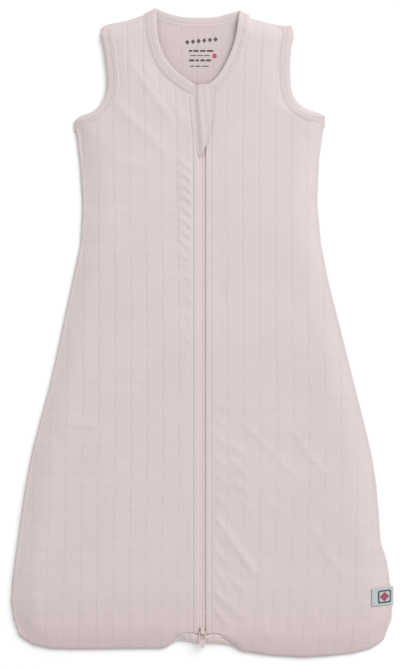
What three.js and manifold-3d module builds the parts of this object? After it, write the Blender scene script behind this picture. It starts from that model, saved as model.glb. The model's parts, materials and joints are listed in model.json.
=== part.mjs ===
// A sleeveless baby sleeping bag, laid flat on its back with its zip closed.
// Millimetres. +X is to the right looking at the front, +Y towards the neck, +Z out of the front.
// The origin is the centre of the footprint, on the surface that the bag rests on.
// "Left" and "right" are as seen from the front, not the wearer's.

import * as THREE from "three";
import { mergeVertices } from "three/addons/utils/BufferGeometryUtils.js";
import Module from "manifold-3d";

const wasm = await Module();
wasm.setup();

// ---------------------------------------------------------------- driving dimensions

const FABRIC = 1.0; // thickness of the double-layer woven cotton
const CLEAR = 0.3; // gap left between neighbouring solids
const FRONT_Z = 7.4; // underside of the front over the hollow
const SEAM_Z = 2.2; // underside of the front where it meets the back at a seam
const ARMHOLE_LIFT = 1.8; // how much higher the front's armhole edge lies than a seam
const BACK_EDGE_Z = 0.8; // underside of the back along its edges; its middle rests on the ground

const SIDE_MARGIN = 26; // how far in from a side the front reaches its full height
const HEM_MARGIN = 24; // the same, up from the hem
const ZIP_END_MARGIN = 8; // the same, up from the hem beside the zip
const SHOULDER_MARGIN = 18;
const BACK_MARGIN = 16;

const BINDING = { width: 10.4, thickness: 2.6 };

const PLACKET = 2.4; // each front's folded edge, out from the zip's centre line
const PLACKET_LEAN = 4.4; // how much further out the left edge swings at the neck
const LEAN_FROM = 172; // the height where that swing starts

const TAPE = { inner: 0.8, outer: 13, low: 5.5, high: 6.1 };
const COIL = { inner: 0.8, outer: 2.2, low: 4.1, high: 5.3 };
const ZIP = { foot: -290.9, stops: -289.2, top: 224 };

const SLIDER = { top: -279.3, length: 9.5, halfTop: 3.6, halfFoot: 4.1, wall: 0.8 };
const SLIDER_Z = { floor: 3.0, channel: 3.9, wallTop: 5.1, plate: 6.35, top: 7.05 };
const CAP = { halfWidth: 1.7, top: -280.5, foot: -287.3, leg: 0.8, under: 10.9, high: 11.5 };
const TAB = { pivotY: -285, low: 8.75, thickness: 1.1, window: 7.2, length: 15.8, eye: 0.55 };
const LOCK = { halfWidth: 0.6, low: 10.15, thickness: 0.25, pinTip: 5.4 };

const GUARD = { low: 9.5, thickness: 1.0 };

// The left front folds back along the line from the foot of the slit to the neckline.
const FOLD = { foot: [0, -262], neck: [-43.8, 281], gap: 0.15 };
const ZIP_FOLDS_ABOVE = -140; // below this the left half of the zip stays down with the bag

// Outline of the bag as it lies, from the hem corners up. Each list runs bottom to top, or left to right.
const LEFT_SEAM = [
  [-174.5, -290], [-182.3, -262], [-176, -197], [-164, -121], [-144.3, -45],
  [-128, 31], [-115.2, 92], [-115, 142], [-121.5, 202],
];
const RIGHT_SEAM = [
  [174, -292.5], [181.8, -270], [179.4, -240], [177.4, -222], [171.4, -206], [169.8, -183],
  [164.2, -128], [144.4, -45], [130.2, 12], [116.4, 69], [110.8, 112], [110.6, 150], [117.2, 206],
];
const LEFT_ARMHOLE = [
  [-121.5, 202], [-115.5, 206.4], [-107.4, 208.8], [-100, 213.2], [-94.8, 219.2], [-91, 227.5],
  [-89.4, 240], [-91, 258], [-93, 273], [-96.2, 288], [-94.7, 292.5],
];
const RIGHT_ARMHOLE = [
  [117.2, 206], [109.5, 209.4], [101, 211.9], [94, 216], [88.2, 221.8], [84.9, 229.2],
  [83.5, 240], [83.1, 253], [84.4, 273], [86.7, 289.5], [84.8, 293.3],
];
const LEFT_SHOULDER = [[-94.7, 292.5], [-89, 295], [-73, 298], [-56.5, 303.5], [-45.3, 310]];
const RIGHT_SHOULDER = [[36.5, 307.8], [45.6, 300.4], [60, 297], [75, 293.7], [84.8, 293.3]];
const BACK_NECK = [
  [-45.3, 310], [-35, 305.6], [-22, 301.8], [-8, 300.6], [12, 301.2], [25.5, 304.4], [36.5, 307.8],
];
const LEFT_NECK = [
  [-6.8, 234.8], [-18, 242.3], [-29.2, 251.4], [-38.4, 264.6], [-43.6, 281], [-45, 295], [-45.3, 310],
];
const RIGHT_NECK = [
  [2.4, 234.6], [11, 238.7], [18.3, 247.8], [25.6, 261], [31.2, 275.4], [34.8, 292], [36.5, 307.8],
];
const HEM = [
  [-174.5, -290], [-167, -295], [-157, -300.4], [-146, -301.9], [-124, -302.6], [-85, -302.2],
  [-54, -301.7], [-38, -301.7], [-32, -299.6], [-27, -296.2], [-22.5, -294.4], [-15, -295], [-6, -296.8],
  [12, -297.2], [22, -298], [28.5, -299.8], [35, -303.2], [43, -305.8], [60, -308], [84, -310],
  [103, -310.4], [122, -308.8], [136, -306.4], [148, -305.8], [159, -302.6], [168, -298], [174, -292.5],
];
// Lower edges of the fronts beside the foot of the zip, where they curve up off the hem.
const FRONT_END = [
  [-35, -302], [-29.5, -296.4], [-24, -290.8], [-18, -287.2], [-9, -287], [0, -288], [11, -287.6],
  [17, -288.4], [22.5, -292.2], [28, -297.4], [34, -303.4],
];
const GUARD_EDGE = [
  [11, 238.2], [11.4, 224.6], [10.4, 211], [8.2, 196], [4.9, 183], [1.4, 173.5], [-2.6, 165.7],
];

// ---------------------------------------------------------------- curves

const smooth = (t) => THREE.MathUtils.smoothstep(t, 0, 1);
const rise = (t) => Math.sin((Math.PI / 2) * THREE.MathUtils.clamp(t, 0, 1));

// A smooth curve through points, with its x at a height and its y at a place across.
function edge(points) {
  const curve = new THREE.CatmullRomCurve3(points.map(([x, y]) => new THREE.Vector3(x, y, 0)));
  const dots = curve.getPoints(points.length * 16);
  const lookUp = (from, to, value) => {
    const sign = dots.at(-1)[from] > dots[0][from] ? 1 : -1;
    const i = Math.max(1, dots.findIndex((d) => (d[from] - value) * sign >= 0));
    if ((dots.at(-1)[from] - value) * sign <= 0) return dots.at(-1)[to];
    const [a, b] = [dots[i - 1], dots[i]];
    const share = (value - a[from]) / (b[from] - a[from] || 1);
    return a[to] + (b[to] - a[to]) * THREE.MathUtils.clamp(share, 0, 1);
  };
  return {
    curve,
    start: points[0],
    end: points.at(-1),
    xAt: (y) => lookUp("y", "x", y),
    yAt: (x) => lookUp("x", "y", x),
  };
}

const hem = edge(HEM);
const backNeck = edge(BACK_NECK);
const sides = {
  left: {
    sign: -1,
    seam: edge(LEFT_SEAM),
    armhole: edge(LEFT_ARMHOLE),
    shoulder: edge(LEFT_SHOULDER),
    neck: edge(LEFT_NECK),
  },
  right: {
    sign: 1,
    seam: edge(RIGHT_SEAM),
    armhole: edge(RIGHT_ARMHOLE),
    shoulder: edge(RIGHT_SHOULDER),
    neck: edge(RIGHT_NECK),
  },
};
const sideOf = (x) => (x < 0 ? sides.left : sides.right);

const outerX = (side, y) => (y < side.seam.end[1] ? side.seam : side.armhole).xAt(y);

function topY(x) {
  if (x < backNeck.start[0]) return sides.left.shoulder.yAt(x);
  if (x > backNeck.end[0]) return sides.right.shoulder.yAt(x);
  return backNeck.yAt(x);
}

const plackX = (side, y) =>
  side.sign * (PLACKET + (side.sign < 0 ? PLACKET_LEAN * smooth((y - LEAN_FROM) / (235 - LEAN_FROM)) : 0));

// ---------------------------------------------------------------- heights

// Underside of the front: full height over the hollow, down to the seam round the edges.
function frontUnder(x, y) {
  const side = sideOf(x);
  const armhole = smooth((y - 198) / 16) * smooth((294 - y) / 12);
  const low = SEAM_Z + ARMHOLE_LIFT * armhole;
  const margin = THREE.MathUtils.lerp(ZIP_END_MARGIN, HEM_MARGIN, smooth((Math.abs(x) - 14) / 30));
  const fromSide = rise(((x - outerX(side, y)) * -side.sign) / SIDE_MARGIN);
  const fromHem = rise((y - hem.yAt(x)) / margin);
  const fromShoulder = rise((side.shoulder.yAt(x) - y) / SHOULDER_MARGIN);
  return low + (FRONT_Z - low) * fromSide * fromHem * fromShoulder;
}

function backUnder(x, y) {
  const side = sideOf(x);
  const inward = Math.min((x - outerX(side, y)) * -side.sign, y - hem.yAt(x), topY(x) - y);
  return BACK_EDGE_Z * (1 - smooth(inward / BACK_MARGIN));
}

// ---------------------------------------------------------------- solids

function solid(geometry) {
  const g = geometry.clone();
  g.deleteAttribute("normal");
  g.deleteAttribute("uv");
  const merged = mergeVertices(g, 1e-4);
  const triVerts = new Uint32Array(merged.index.array);
  const at = merged.attributes.position;
  const corner = (i) => new THREE.Vector3().fromBufferAttribute(at, triVerts[i]);
  let volume = 0;
  for (let i = 0; i < triVerts.length; i += 3) volume += corner(i).dot(corner(i + 1).cross(corner(i + 2)));
  if (volume < 0) triVerts.reverse();
  return new wasm.Manifold(new wasm.Mesh({ numProp: 3, vertProperties: at.array, triVerts }));
}

const largest = (body) => body.decompose().sort((a, b) => b.volume() - a.volume())[0];
const join = (...bodies) => bodies.reduce((a, b) => a.add(b));
const cut = (body, ...tools) => largest(tools.reduce((a, b) => a.subtract(b), body));

function warp(geometry, place) {
  const p = geometry.attributes.position;
  for (let i = 0; i < p.count; i++) p.setXYZ(i, ...place(p.getX(i), p.getY(i), p.getZ(i)));
  return solid(geometry);
}

function box(x0, x1, y0, y1, z0, z1) {
  const g = new THREE.BoxGeometry(x1 - x0, y1 - y0, z1 - z0);
  return solid(g.translate((x0 + x1) / 2, (y0 + y1) / 2, (z0 + z1) / 2));
}

function plate(outline, z0, z1, holes = []) {
  const shape = new THREE.Shape(outline.map(([x, y]) => new THREE.Vector2(x, y)));
  shape.holes = holes.map((h) => new THREE.Path(h.map(([x, y]) => new THREE.Vector2(x, y))));
  const g = new THREE.ExtrudeGeometry(shape, { depth: z1 - z0, bevelEnabled: false });
  return solid(g.translate(0, 0, z0));
}

// A sheet ruled from an outer edge to an inner one. Its end rows are bent onto low(x) and high(x).
function sheet({ outer, inner, low, high, columns, rows, spread, under }) {
  const [a0, a1, b0, b1] = [outer(0), outer(1), inner(0), inner(1)];
  const chord = (a, b, x) => a[1] + ((b[1] - a[1]) * (x - a[0])) / (b[0] - a[0]);
  return warp(new THREE.BoxGeometry(1, 1, 1, columns, rows, 1), (bx, by, bz) => {
    const [u, v] = [spread(bx + 0.5), by + 0.5];
    const [a, b] = [outer(v), inner(v)];
    const x = a[0] + (b[0] - a[0]) * u;
    let y = a[1] + (b[1] - a[1]) * u;
    y += (low(x) - chord(a0, b0, x)) * smooth(1 - v / 0.3);
    y += (high(x) - chord(a1, b1, x)) * smooth((v - 0.8) / 0.2);
    return [x, y, under(x, y) + (bz > 0 ? FABRIC : 0)];
  });
}

const SEAM_SHARE = 0.6; // share of a sheet's rows below the underarm
const ROW_BIAS = 1.5; // crowds rows towards the hem

// Up a seam and then round the armhole, or up the zip and then round the neck.
function climb(lowerX, lower, upper) {
  return (v) => {
    if (v > SEAM_SHARE) {
      const p = upper.curve.getPointAt((v - SEAM_SHARE) / (1 - SEAM_SHARE));
      return [p.x, p.y];
    }
    const y = THREE.MathUtils.lerp(lower, upper.start[1], (v / SEAM_SHARE) ** ROW_BIAS);
    return [lowerX(y), y];
  };
}

// A band of binding from an edge inwards. turn is 1 where inwards is to the right of the edge's direction.
function binding(path, options) {
  const { turn, startAcross, endAcross, middle, steps, grow = 0 } = options;
  const half = BINDING.thickness / 2 + grow;
  const inner = BINDING.width + grow;
  const outer = grow * -8;
  const profile = new THREE.Shape();
  profile.moveTo(inner, -half).lineTo(inner, half).lineTo(outer, half);
  profile.lineTo(outer - 0.7 * half, 0).lineTo(outer, -half);
  const g = new THREE.ExtrudeGeometry(profile, { depth: 1, steps, bevelEnabled: false });
  const away = (v) => new THREE.Vector3(...v, 0).normalize();
  return warp(g, (a, b, t) => {
    const p = path.curve.getPointAt(t);
    const along = path.curve.getTangentAt(t);
    const across = new THREE.Vector3(along.y * turn, -along.x * turn, 0);
    across.lerp(away(startAcross), 1 - smooth(t / 0.22));
    across.lerp(away(endAcross), 1 - smooth((1 - t) / 0.22)).normalize();
    const q = p.clone().addScaledVector(across, a);
    return [q.x, q.y, middle(p.addScaledVector(across, Math.max(a, 0))) + b];
  });
}

const onFront = (q) => frontUnder(q.x, q.y) + FABRIC / 2;
const onBack = (q) => Math.max(backUnder(q.x, q.y), BACK_EDGE_Z) + FABRIC / 2;

// ---------------------------------------------------------------- panels and bindings

const HEM_RISE = { from: -58, to: 46, spare: 1.5, ease: 8 }; // where the back's sheet is trimmed to the hem

const crowdOuter = (t) => t ** 1.5;
const crowdBoth = (t) => (1 - Math.cos(Math.PI * t)) / 2;

function frontPanel(side) {
  return sheet({
    outer: climb((y) => outerX(side, y), side.seam.start[1], side.armhole),
    inner: climb((y) => plackX(side, y), hem.yAt(0), side.neck),
    low: (x) => hem.yAt(x),
    high: (x) => side.shoulder.yAt(x),
    columns: 9, rows: 32, spread: crowdOuter, under: frontUnder,
  });
}

// The part of the plan under the hem where it rises beside the foot of the zip.
function underHemRise() {
  const upper = hem.curve.getPoints(240).filter((p) => p.x > HEM_RISE.from && p.x < HEM_RISE.to);
  const [first, last, low] = [upper[0], upper.at(-1), -320];
  return plate([...upper.map((p) => [p.x, p.y]), [last.x, low], [first.x, low]], -5, 40);
}

function backPanel() {
  const { left, right } = sides;
  const { from, to, spare, ease } = HEM_RISE;
  const panel = sheet({
    outer: climb((y) => outerX(left, y), left.seam.start[1], left.armhole),
    inner: climb((y) => outerX(right, y), right.seam.start[1], right.armhole),
    low: (x) => hem.yAt(x) - spare * smooth((x - from) / ease) * smooth((to - x) / ease),
    high: topY,
    columns: 16, rows: 30, spread: crowdBoth, under: backUnder,
  });
  return cut(panel, underHemRise());
}

const armholeEnds = (side) => ({
  turn: -side.sign, startAcross: [0, -1], endAcross: [-side.sign, -0.12], steps: 14,
});

function armholeBinding(side, grow = 0) {
  const ends = armholeEnds(side);
  return join(
    binding(side.armhole, { ...ends, middle: onFront, grow }),
    binding(side.armhole, { ...ends, middle: onBack, grow }),
  );
}

function frontNeckBinding(side, grow = 0) {
  const ends = { turn: side.sign, startAcross: [side.sign * 0.45, -1], endAcross: [side.sign, -0.5] };
  return binding(side.neck, { ...ends, steps: 12, middle: onFront, grow });
}

function backNeckBinding(grow = 0) {
  const ends = { turn: 1, startAcross: [-1, -0.6], endAcross: [1, -0.6] };
  return binding(backNeck, { ...ends, steps: 12, middle: onBack, grow });
}

// Where the front and back runs of the neck binding meet, at the top of a shoulder.
function neckCorner(side, grow = 0) {
  const [x, y] = side.neck.end;
  const g = new THREE.BoxGeometry(BINDING.width + grow, 2.4 + grow, 3.2 + grow);
  g.translate(-BINDING.width / 2, -1.4, 0).rotateZ(Math.atan2(0.5, 1)).scale(-side.sign, 1, 1);
  return solid(g.translate(x, y - 0.4, 2.0));
}

// ---------------------------------------------------------------- the fold in the left front

function foldX(y) {
  const [[x0, y0], [x1, y1]] = [FOLD.foot, FOLD.neck];
  return x0 + ((x1 - x0) * (y - y0)) / (y1 - y0);
}

// Everything on the zip's side of the fold line, from a height up.
function lapelSide(shift, fromY = FOLD.foot[1]) {
  const [far, high] = [60, FOLD.neck[1] - shift];
  const [foot, neck] = [foldX(fromY) + shift, foldX(high) + shift];
  return plate([[foot, fromY], [far, fromY], [far, high], [neck, high]], -5, 40);
}

const lapelOf = (body, fromY) => largest(body.intersect(lapelSide(FOLD.gap, fromY)));
const restOf = (body, fromY) => cut(body, lapelSide(-FOLD.gap, fromY));

// ---------------------------------------------------------------- zip

function zipStrip({ inner, outer, low, high }, sign, y0, y1) {
  return box(Math.min(inner * sign, outer * sign), Math.max(inner * sign, outer * sign), y0, y1, low, high);
}

function zipCoil(sign) {
  const { inner, outer, low, high } = COIL;
  const [mid, radius] = [(low + high) / 2, (high - low) / 2];
  const profile = new THREE.Shape();
  profile.moveTo(inner, low).lineTo(outer - radius, low);
  profile.absarc(outer - radius, mid, radius, -Math.PI / 2, Math.PI / 2, false).lineTo(inner, high);
  const length = ZIP.top - ZIP.stops;
  const g = new THREE.ExtrudeGeometry(profile, { depth: 1, bevelEnabled: false, curveSegments: 4 });
  return warp(g, (a, b, t) => [a * sign, ZIP.stops + length * t, b]);
}

const zipStop = (sign) => zipStrip({ ...COIL, outer: 2.6 }, sign, ZIP.foot + CLEAR, ZIP.stops - CLEAR);

const zipBox = () => box(0.5, 3.6, ZIP.top + CLEAR, ZIP.top + 6, 3.6, 6.2);
const zipPin = () => box(-2.4, -0.5, ZIP.top + CLEAR, ZIP.top + 8, 4.4, 6.0);

// ---------------------------------------------------------------- slider

// The plan of a slider plate: narrow at the top, wide and notched at the foot. inset shrinks its sides.
function sliderPlan(inset = 0) {
  const { top, length, halfTop, halfFoot } = SLIDER;
  const half = [
    [halfTop - inset, top], [halfTop - inset, top - 3], [halfFoot - inset, top - 5.6],
    [halfFoot - inset, top - length + 0.9], [halfFoot - inset - 0.8, top - length], [1.5, top - length],
  ];
  return [...half, [0, top - length + 1], ...half.map(([x, y]) => [-x, y]).reverse()];
}

function sliderBody() {
  const { top, length, wall } = SLIDER;
  const { floor, channel, wallTop, plate: plateZ, top: topZ } = SLIDER_Z;
  const runThrough = (y) => (y > top - 1 ? y + 1 : y < top - length + 1.2 ? y - 1.5 : y);
  const open = sliderPlan(wall).map(([x, y]) => [x, runThrough(y)]);
  const tray = plate(sliderPlan(), floor, wallTop).subtract(plate(open, channel, wallTop + 1));
  const wedge = [[-0.5, top - 7.8], [0, top - 4.6], [0.5, top - 7.8], [0, top - 8.4]];
  const post = plate(wedge, channel - 0.4, plateZ + 0.3);
  const lockHole = box(-0.75, 0.75, CAP.top - 2.6, CAP.top - 0.6, plateZ - 1, topZ + 1);
  return cut(join(plate(sliderPlan(), plateZ, topZ), tray, post), lockHole);
}

// The cap arches over the tab's bar and the locking spring.
function sliderCap() {
  const { halfWidth: w, top, foot, leg, under, high } = CAP;
  const profile = new THREE.Shape();
  const low = SLIDER_Z.top + 0.1;
  profile.moveTo(foot, low).lineTo(foot, high - 0.8).quadraticCurveTo(foot, high, foot + 1.2, high);
  profile.lineTo(top - 1.2, high).quadraticCurveTo(top, high, top, high - 0.8).lineTo(top, low);
  profile.lineTo(top - leg, low).lineTo(top - leg, under).lineTo(foot + leg, under).lineTo(foot + leg, low);
  const g = new THREE.ExtrudeGeometry(profile, { depth: 2 * w, bevelEnabled: false, curveSegments: 4 });
  return warp(g, (a, b, c) => [c - w, a, b]);
}

function lockSpring() {
  const { halfWidth: w, low, thickness, pinTip } = LOCK;
  const tipY = CAP.top - 1.15;
  const leaf = box(-w, w, CAP.foot + 1.1, tipY, low, low + thickness);
  return join(leaf, box(-0.4, 0.4, tipY - 0.8, tipY, pinTip, low + thickness / 2));
}

function pullTab() {
  const { pivotY, low, thickness, window, length } = TAB;
  const outline = new THREE.Shape();
  const [wide, tip, bar] = [3.3, 2.1, thickness / 2];
  outline.moveTo(-wide, pivotY + bar).lineTo(-wide, pivotY - window - 0.6);
  outline.lineTo(-tip, pivotY - length + tip);
  outline.absarc(0, pivotY - length + tip, tip, Math.PI, 2 * Math.PI, false);
  outline.lineTo(wide, pivotY - window - 0.6).lineTo(wide, pivotY + bar);
  const hole = new THREE.Path();
  hole.moveTo(-2.2, pivotY - bar).lineTo(-2.2, pivotY - window);
  hole.lineTo(2.2, pivotY - window).lineTo(2.2, pivotY - bar);
  const eye = new THREE.Path();
  eye.absarc(0, pivotY - length + tip, TAB.eye, 0, 2 * Math.PI, false);
  outline.holes.push(hole, eye);
  const g = new THREE.ExtrudeGeometry(outline, { depth: thickness, bevelEnabled: false, curveSegments: 8 });
  return solid(g.translate(0, 0, low));
}

// ---------------------------------------------------------------- guard, patch and labels

function chinGuard() {
  const free = edge(GUARD_EDGE).curve.getPoints(18).map((p) => [p.x, p.y]);
  return plate([[-6.9, 235.6], [2, 236.4], ...free], GUARD.low, GUARD.low + GUARD.thickness);
}

// The part of the plan below the fronts' lower edges. shift moves its upper edge down.
function belowFronts(shift) {
  const upper = edge(FRONT_END).curve.getPoints(40).map((p) => [p.x, p.y - shift]);
  const low = -320;
  return plate([...upper, [FRONT_END.at(-1)[0], low], [FRONT_END[0][0], low]], -5, 40);
}

// The facing that closes the foot of the zip, falling from the fronts' height to the hem.
function zipEndPatch() {
  const [x0, x1, top] = [FRONT_END[0][0], FRONT_END.at(-1)[0], -284];
  const g = new THREE.BoxGeometry(1, 1, 1, 18, 8, 1);
  const strip = warp(g, (bx, by, bz) => {
    const x = THREE.MathUtils.lerp(x0, x1, bx + 0.5);
    const y = THREE.MathUtils.lerp(hem.yAt(x), top, by + 0.5);
    return [x, y, frontUnder(x, y) + (bz > 0 ? FABRIC : 0)];
  });
  const ends = box(x0 + 4, x1 - 4, -320, top, -5, 40);
  return largest(strip.intersect(belowFronts(CLEAR)).intersect(ends));
}

// A woven tape folded round the right side seam, front leg on the panel and a short leg behind it.
function sideLabel() {
  const [y0, y1, inner, tape] = [-261, -242.6, 161.4, 0.4];
  const edgeX = outerX(sides.right, y0) + 0.5;
  const front = [];
  for (let i = 0; i <= 8; i++) {
    const x = THREE.MathUtils.lerp(inner, edgeX - 0.6, i / 8);
    front.push([x, Math.max(frontUnder(x, y0), frontUnder(x, y1)) + FABRIC + CLEAR]);
  }
  const inside = [...front, [edgeX, 2.6], [edgeX, 0.75], [edgeX - 4, 0.42]];
  const outside = front.map(([x, z]) => [x, z + tape]);
  outside.push([edgeX + tape, 3.0], [edgeX + tape, 0.5], [edgeX - 4, 0.02]);
  const loop = [...inside, ...outside.reverse()];
  const outline = new THREE.Shape(loop.map(([x, z]) => new THREE.Vector2(x, z)));
  const g = new THREE.ExtrudeGeometry(outline, { depth: y1 - y0, bevelEnabled: false });
  return warp(g, (a, b, c) => [a, y0 + c, b]);
}

const careLabel = () => box(-103, -83, 38, 68, FABRIC + 0.15, FABRIC + 0.55);

function neckPrint() {
  const [x, y, halfW, halfH, r] = [-1.6, 268.6, 16, 15.6, 4];
  const shape = new THREE.Shape();
  shape.absarc(x + halfW - r, y + halfH - r, r, 0, Math.PI / 2, false);
  shape.absarc(x - halfW + r, y + halfH - r, r, Math.PI / 2, Math.PI, false);
  shape.absarc(x - halfW + r, y - halfH + r, r, Math.PI, 1.5 * Math.PI, false);
  shape.absarc(x + halfW - r, y - halfH + r, r, 1.5 * Math.PI, 2 * Math.PI, false);
  const g = new THREE.ExtrudeGeometry(shape, { depth: 0.25, bevelEnabled: false, curveSegments: 4 });
  return solid(g.translate(0, 0, FABRIC + 0.12));
}

// ---------------------------------------------------------------- assembly

function look(color, roughness, metalness = 0) {
  return new THREE.MeshStandardMaterial({ color, roughness, metalness });
}

const COTTON = look(0xdccfcf, 0.95);
const TAPE_PINK = look(0xcdb9ba, 0.9);
const COIL_NYLON = look(0xd2bebf, 0.5);
const PAINTED = look(0xe0cfcd, 0.4, 0.3);
const STEEL = look(0xb9b6b2, 0.35, 0.9);
const LABEL_MINT = look(0xc3d3d3, 0.8);
const LABEL_WHITE = look(0xf0eeea, 0.8);
const PRINT_GREY = look(0x5d5853, 0.7);

const bag = new THREE.Group();

function add(name, body, material) {
  const m = body.getMesh();
  const g = new THREE.BufferGeometry();
  g.setAttribute("position", new THREE.BufferAttribute(new Float32Array(m.vertProperties), 3));
  g.setIndex(new THREE.BufferAttribute(m.triVerts, 1));
  g.computeVertexNormals();
  const mesh = new THREE.Mesh(g, material);
  mesh.name = name;
  bag.add(mesh);
}

const { left, right } = sides;
const patchSpace = belowFronts(0);
const bindingSpace = [
  armholeBinding(left, CLEAR), armholeBinding(right, CLEAR), backNeckBinding(CLEAR),
  frontNeckBinding(left, CLEAR), frontNeckBinding(right, CLEAR),
  neckCorner(left, CLEAR), neckCorner(right, CLEAR),
];
const leftFront = cut(frontPanel(left), ...bindingSpace, patchSpace);
const leftNeckBinding = frontNeckBinding(left);

add("back_panel", cut(backPanel(), ...bindingSpace), COTTON);
add("front_right", cut(frontPanel(right), ...bindingSpace, patchSpace), COTTON);
add("front_left_side", restOf(leftFront), COTTON);
add("front_left_lapel", lapelOf(leftFront), COTTON);
add("armhole_binding_left", armholeBinding(left), COTTON);
add("armhole_binding_right", armholeBinding(right), COTTON);
add("neck_binding", join(
  backNeckBinding(), frontNeckBinding(right), restOf(leftNeckBinding), neckCorner(left), neckCorner(right),
), COTTON);
add("neck_binding_lapel", lapelOf(leftNeckBinding), COTTON);
add("chin_guard", chinGuard(), COTTON);
add("zip_end_patch", zipEndPatch(), COTTON);

const leftTape = zipStrip(TAPE, -1, ZIP.foot, ZIP.top);
add("zip_tape_left", lapelOf(leftTape, ZIP_FOLDS_ABOVE), TAPE_PINK);
add("zip_tape_left_foot", restOf(leftTape, ZIP_FOLDS_ABOVE), TAPE_PINK);
add("zip_tape_right", zipStrip(TAPE, 1, ZIP.foot, ZIP.top), TAPE_PINK);
add("zip_coil_left", lapelOf(zipCoil(-1), ZIP_FOLDS_ABOVE), COIL_NYLON);
add("zip_coil_left_foot", restOf(zipCoil(-1), ZIP_FOLDS_ABOVE), COIL_NYLON);
add("zip_coil_right", zipCoil(1), COIL_NYLON);
add("zip_stop_left", zipStop(-1), COIL_NYLON);
add("zip_stop_right", zipStop(1), COIL_NYLON);
add("zip_retainer_box", zipBox(), COIL_NYLON);
add("zip_insertion_pin", zipPin(), COIL_NYLON);

add("slider_body", sliderBody(), PAINTED);
add("slider_cap", sliderCap(), PAINTED);
add("slider_lock_spring", lockSpring(), STEEL);
add("pull_tab", pullTab(), PAINTED);

add("side_label", sideLabel(), LABEL_MINT);
add("care_label", careLabel(), LABEL_WHITE);
add("neck_print", neckPrint(), PRINT_GREY);

export default bag;
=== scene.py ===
"""The looks of a baby sleeping bag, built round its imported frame.

The frame is in metres. The code here works in millimetres and changes to metres as it makes each mesh.
+X is to the right looking at the front, +Y towards the neck, +Z up out of the front.
"""

import json
import math
from typing import NamedTuple

import bmesh
import bpy
import numpy as np
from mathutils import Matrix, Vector

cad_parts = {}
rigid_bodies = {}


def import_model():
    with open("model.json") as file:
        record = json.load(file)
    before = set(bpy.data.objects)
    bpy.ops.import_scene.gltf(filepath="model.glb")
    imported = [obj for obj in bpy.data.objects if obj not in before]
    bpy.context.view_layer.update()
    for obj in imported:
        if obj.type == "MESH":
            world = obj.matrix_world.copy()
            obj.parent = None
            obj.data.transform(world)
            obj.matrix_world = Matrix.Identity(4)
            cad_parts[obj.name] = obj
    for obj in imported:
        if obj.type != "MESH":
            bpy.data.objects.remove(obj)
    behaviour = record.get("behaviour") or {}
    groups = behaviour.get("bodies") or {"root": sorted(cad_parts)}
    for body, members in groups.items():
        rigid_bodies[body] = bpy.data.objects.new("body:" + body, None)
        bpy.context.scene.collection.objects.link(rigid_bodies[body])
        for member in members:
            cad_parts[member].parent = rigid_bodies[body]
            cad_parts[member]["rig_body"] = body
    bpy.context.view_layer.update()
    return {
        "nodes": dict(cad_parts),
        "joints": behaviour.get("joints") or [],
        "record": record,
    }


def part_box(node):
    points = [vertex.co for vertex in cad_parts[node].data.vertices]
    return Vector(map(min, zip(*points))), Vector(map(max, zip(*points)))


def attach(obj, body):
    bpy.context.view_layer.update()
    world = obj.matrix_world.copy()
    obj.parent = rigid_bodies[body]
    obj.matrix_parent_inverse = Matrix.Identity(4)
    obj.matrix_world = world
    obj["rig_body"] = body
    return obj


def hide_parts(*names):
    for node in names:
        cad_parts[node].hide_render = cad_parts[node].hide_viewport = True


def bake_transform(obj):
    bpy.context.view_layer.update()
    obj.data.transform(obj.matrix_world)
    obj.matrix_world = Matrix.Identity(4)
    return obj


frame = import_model()

MM = 0.001
X, Y, Z = 0, 1, 2

# ---------------------------------------------------------------- driving sizes, in millimetres

CLOTH = 1.0  # thickness of the double-layer cotton
SIDE_MARGIN = 26.0  # how far in from a side the front reaches its full height
HEM_MARGIN = 24.0  # the same, up from the hem
ZIP_END_MARGIN = 8.0  # the same, up from the hem beside the zip
ZIP_END_HALF_WIDTH = 14.0  # how far out from the zip that margin holds
SHOULDER_MARGIN = 18.0
ARMHOLE_LIFT = 1.8  # how much higher the front's armhole edge lies than a seam
ARMHOLE_LOW_Y, ARMHOLE_HIGH_Y = 198.0, 294.0  # between these the front's edge lifts off the seam
BACK_MARGIN = 16.0
SEAM_ROUND = 1.2  # radius of a sheet's edge where it is turned in at a side seam
BAND_WIDTH = 10.4  # the binding's width
BAND_THICK = 2.3
WARP_PITCH = 15.4  # between the upright lines of the windowpane weave
WEFT_PITCH = 12.3  # between the level ones
PLACKET_STITCH = 6.3  # from a front's folded edge to its topstitching
STITCH = 2.3  # a stitch's length
STITCH_PITCH = 3.1
FOLD_BAND = 12.0  # width of cloth beside the crease that bends when the lapel folds back

SEED = 7
FOLD_SEED = 11

# ---------------------------------------------------------------- small helpers


def smooth(t):
    t = np.clip(t, 0.0, 1.0)
    return t * t * (3.0 - 2.0 * t)


def rise(t):
    return np.sin(np.pi / 2 * np.clip(t, 0.0, 1.0))


def bump(t):
    """A smooth hump, 1 at 0 and nothing beyond 1 either way."""
    return smooth(1.0 - np.abs(t))


def bell(t):
    return np.exp(-(t**2))


def places(*parts):
    """Points, or places in the weave, from three grids of numbers."""
    return np.stack(parts, axis=-1)


def box_mm(node):
    low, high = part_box(node)
    return np.array(low) / MM, np.array(high) / MM


def cad_points(*names):
    found = []
    for name in names:
        vertices = frame["nodes"][name].data.vertices
        flat = np.empty(len(vertices) * 3)
        vertices.foreach_get("co", flat)
        found.append(flat.reshape(-1, 3) / MM)
    return found


def cad_edges(*names):
    """Both ends of every mesh edge of some CAD nodes, as an array (edges, 2, 3)."""
    found = []
    for name, points in zip(names, cad_points(*names)):
        edges = frame["nodes"][name].data.edges
        pairs = np.empty(len(edges) * 2, int)
        edges.foreach_get("vertices", pairs)
        found.append(points[pairs.reshape(-1, 2)])
    return np.concatenate(found)


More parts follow.
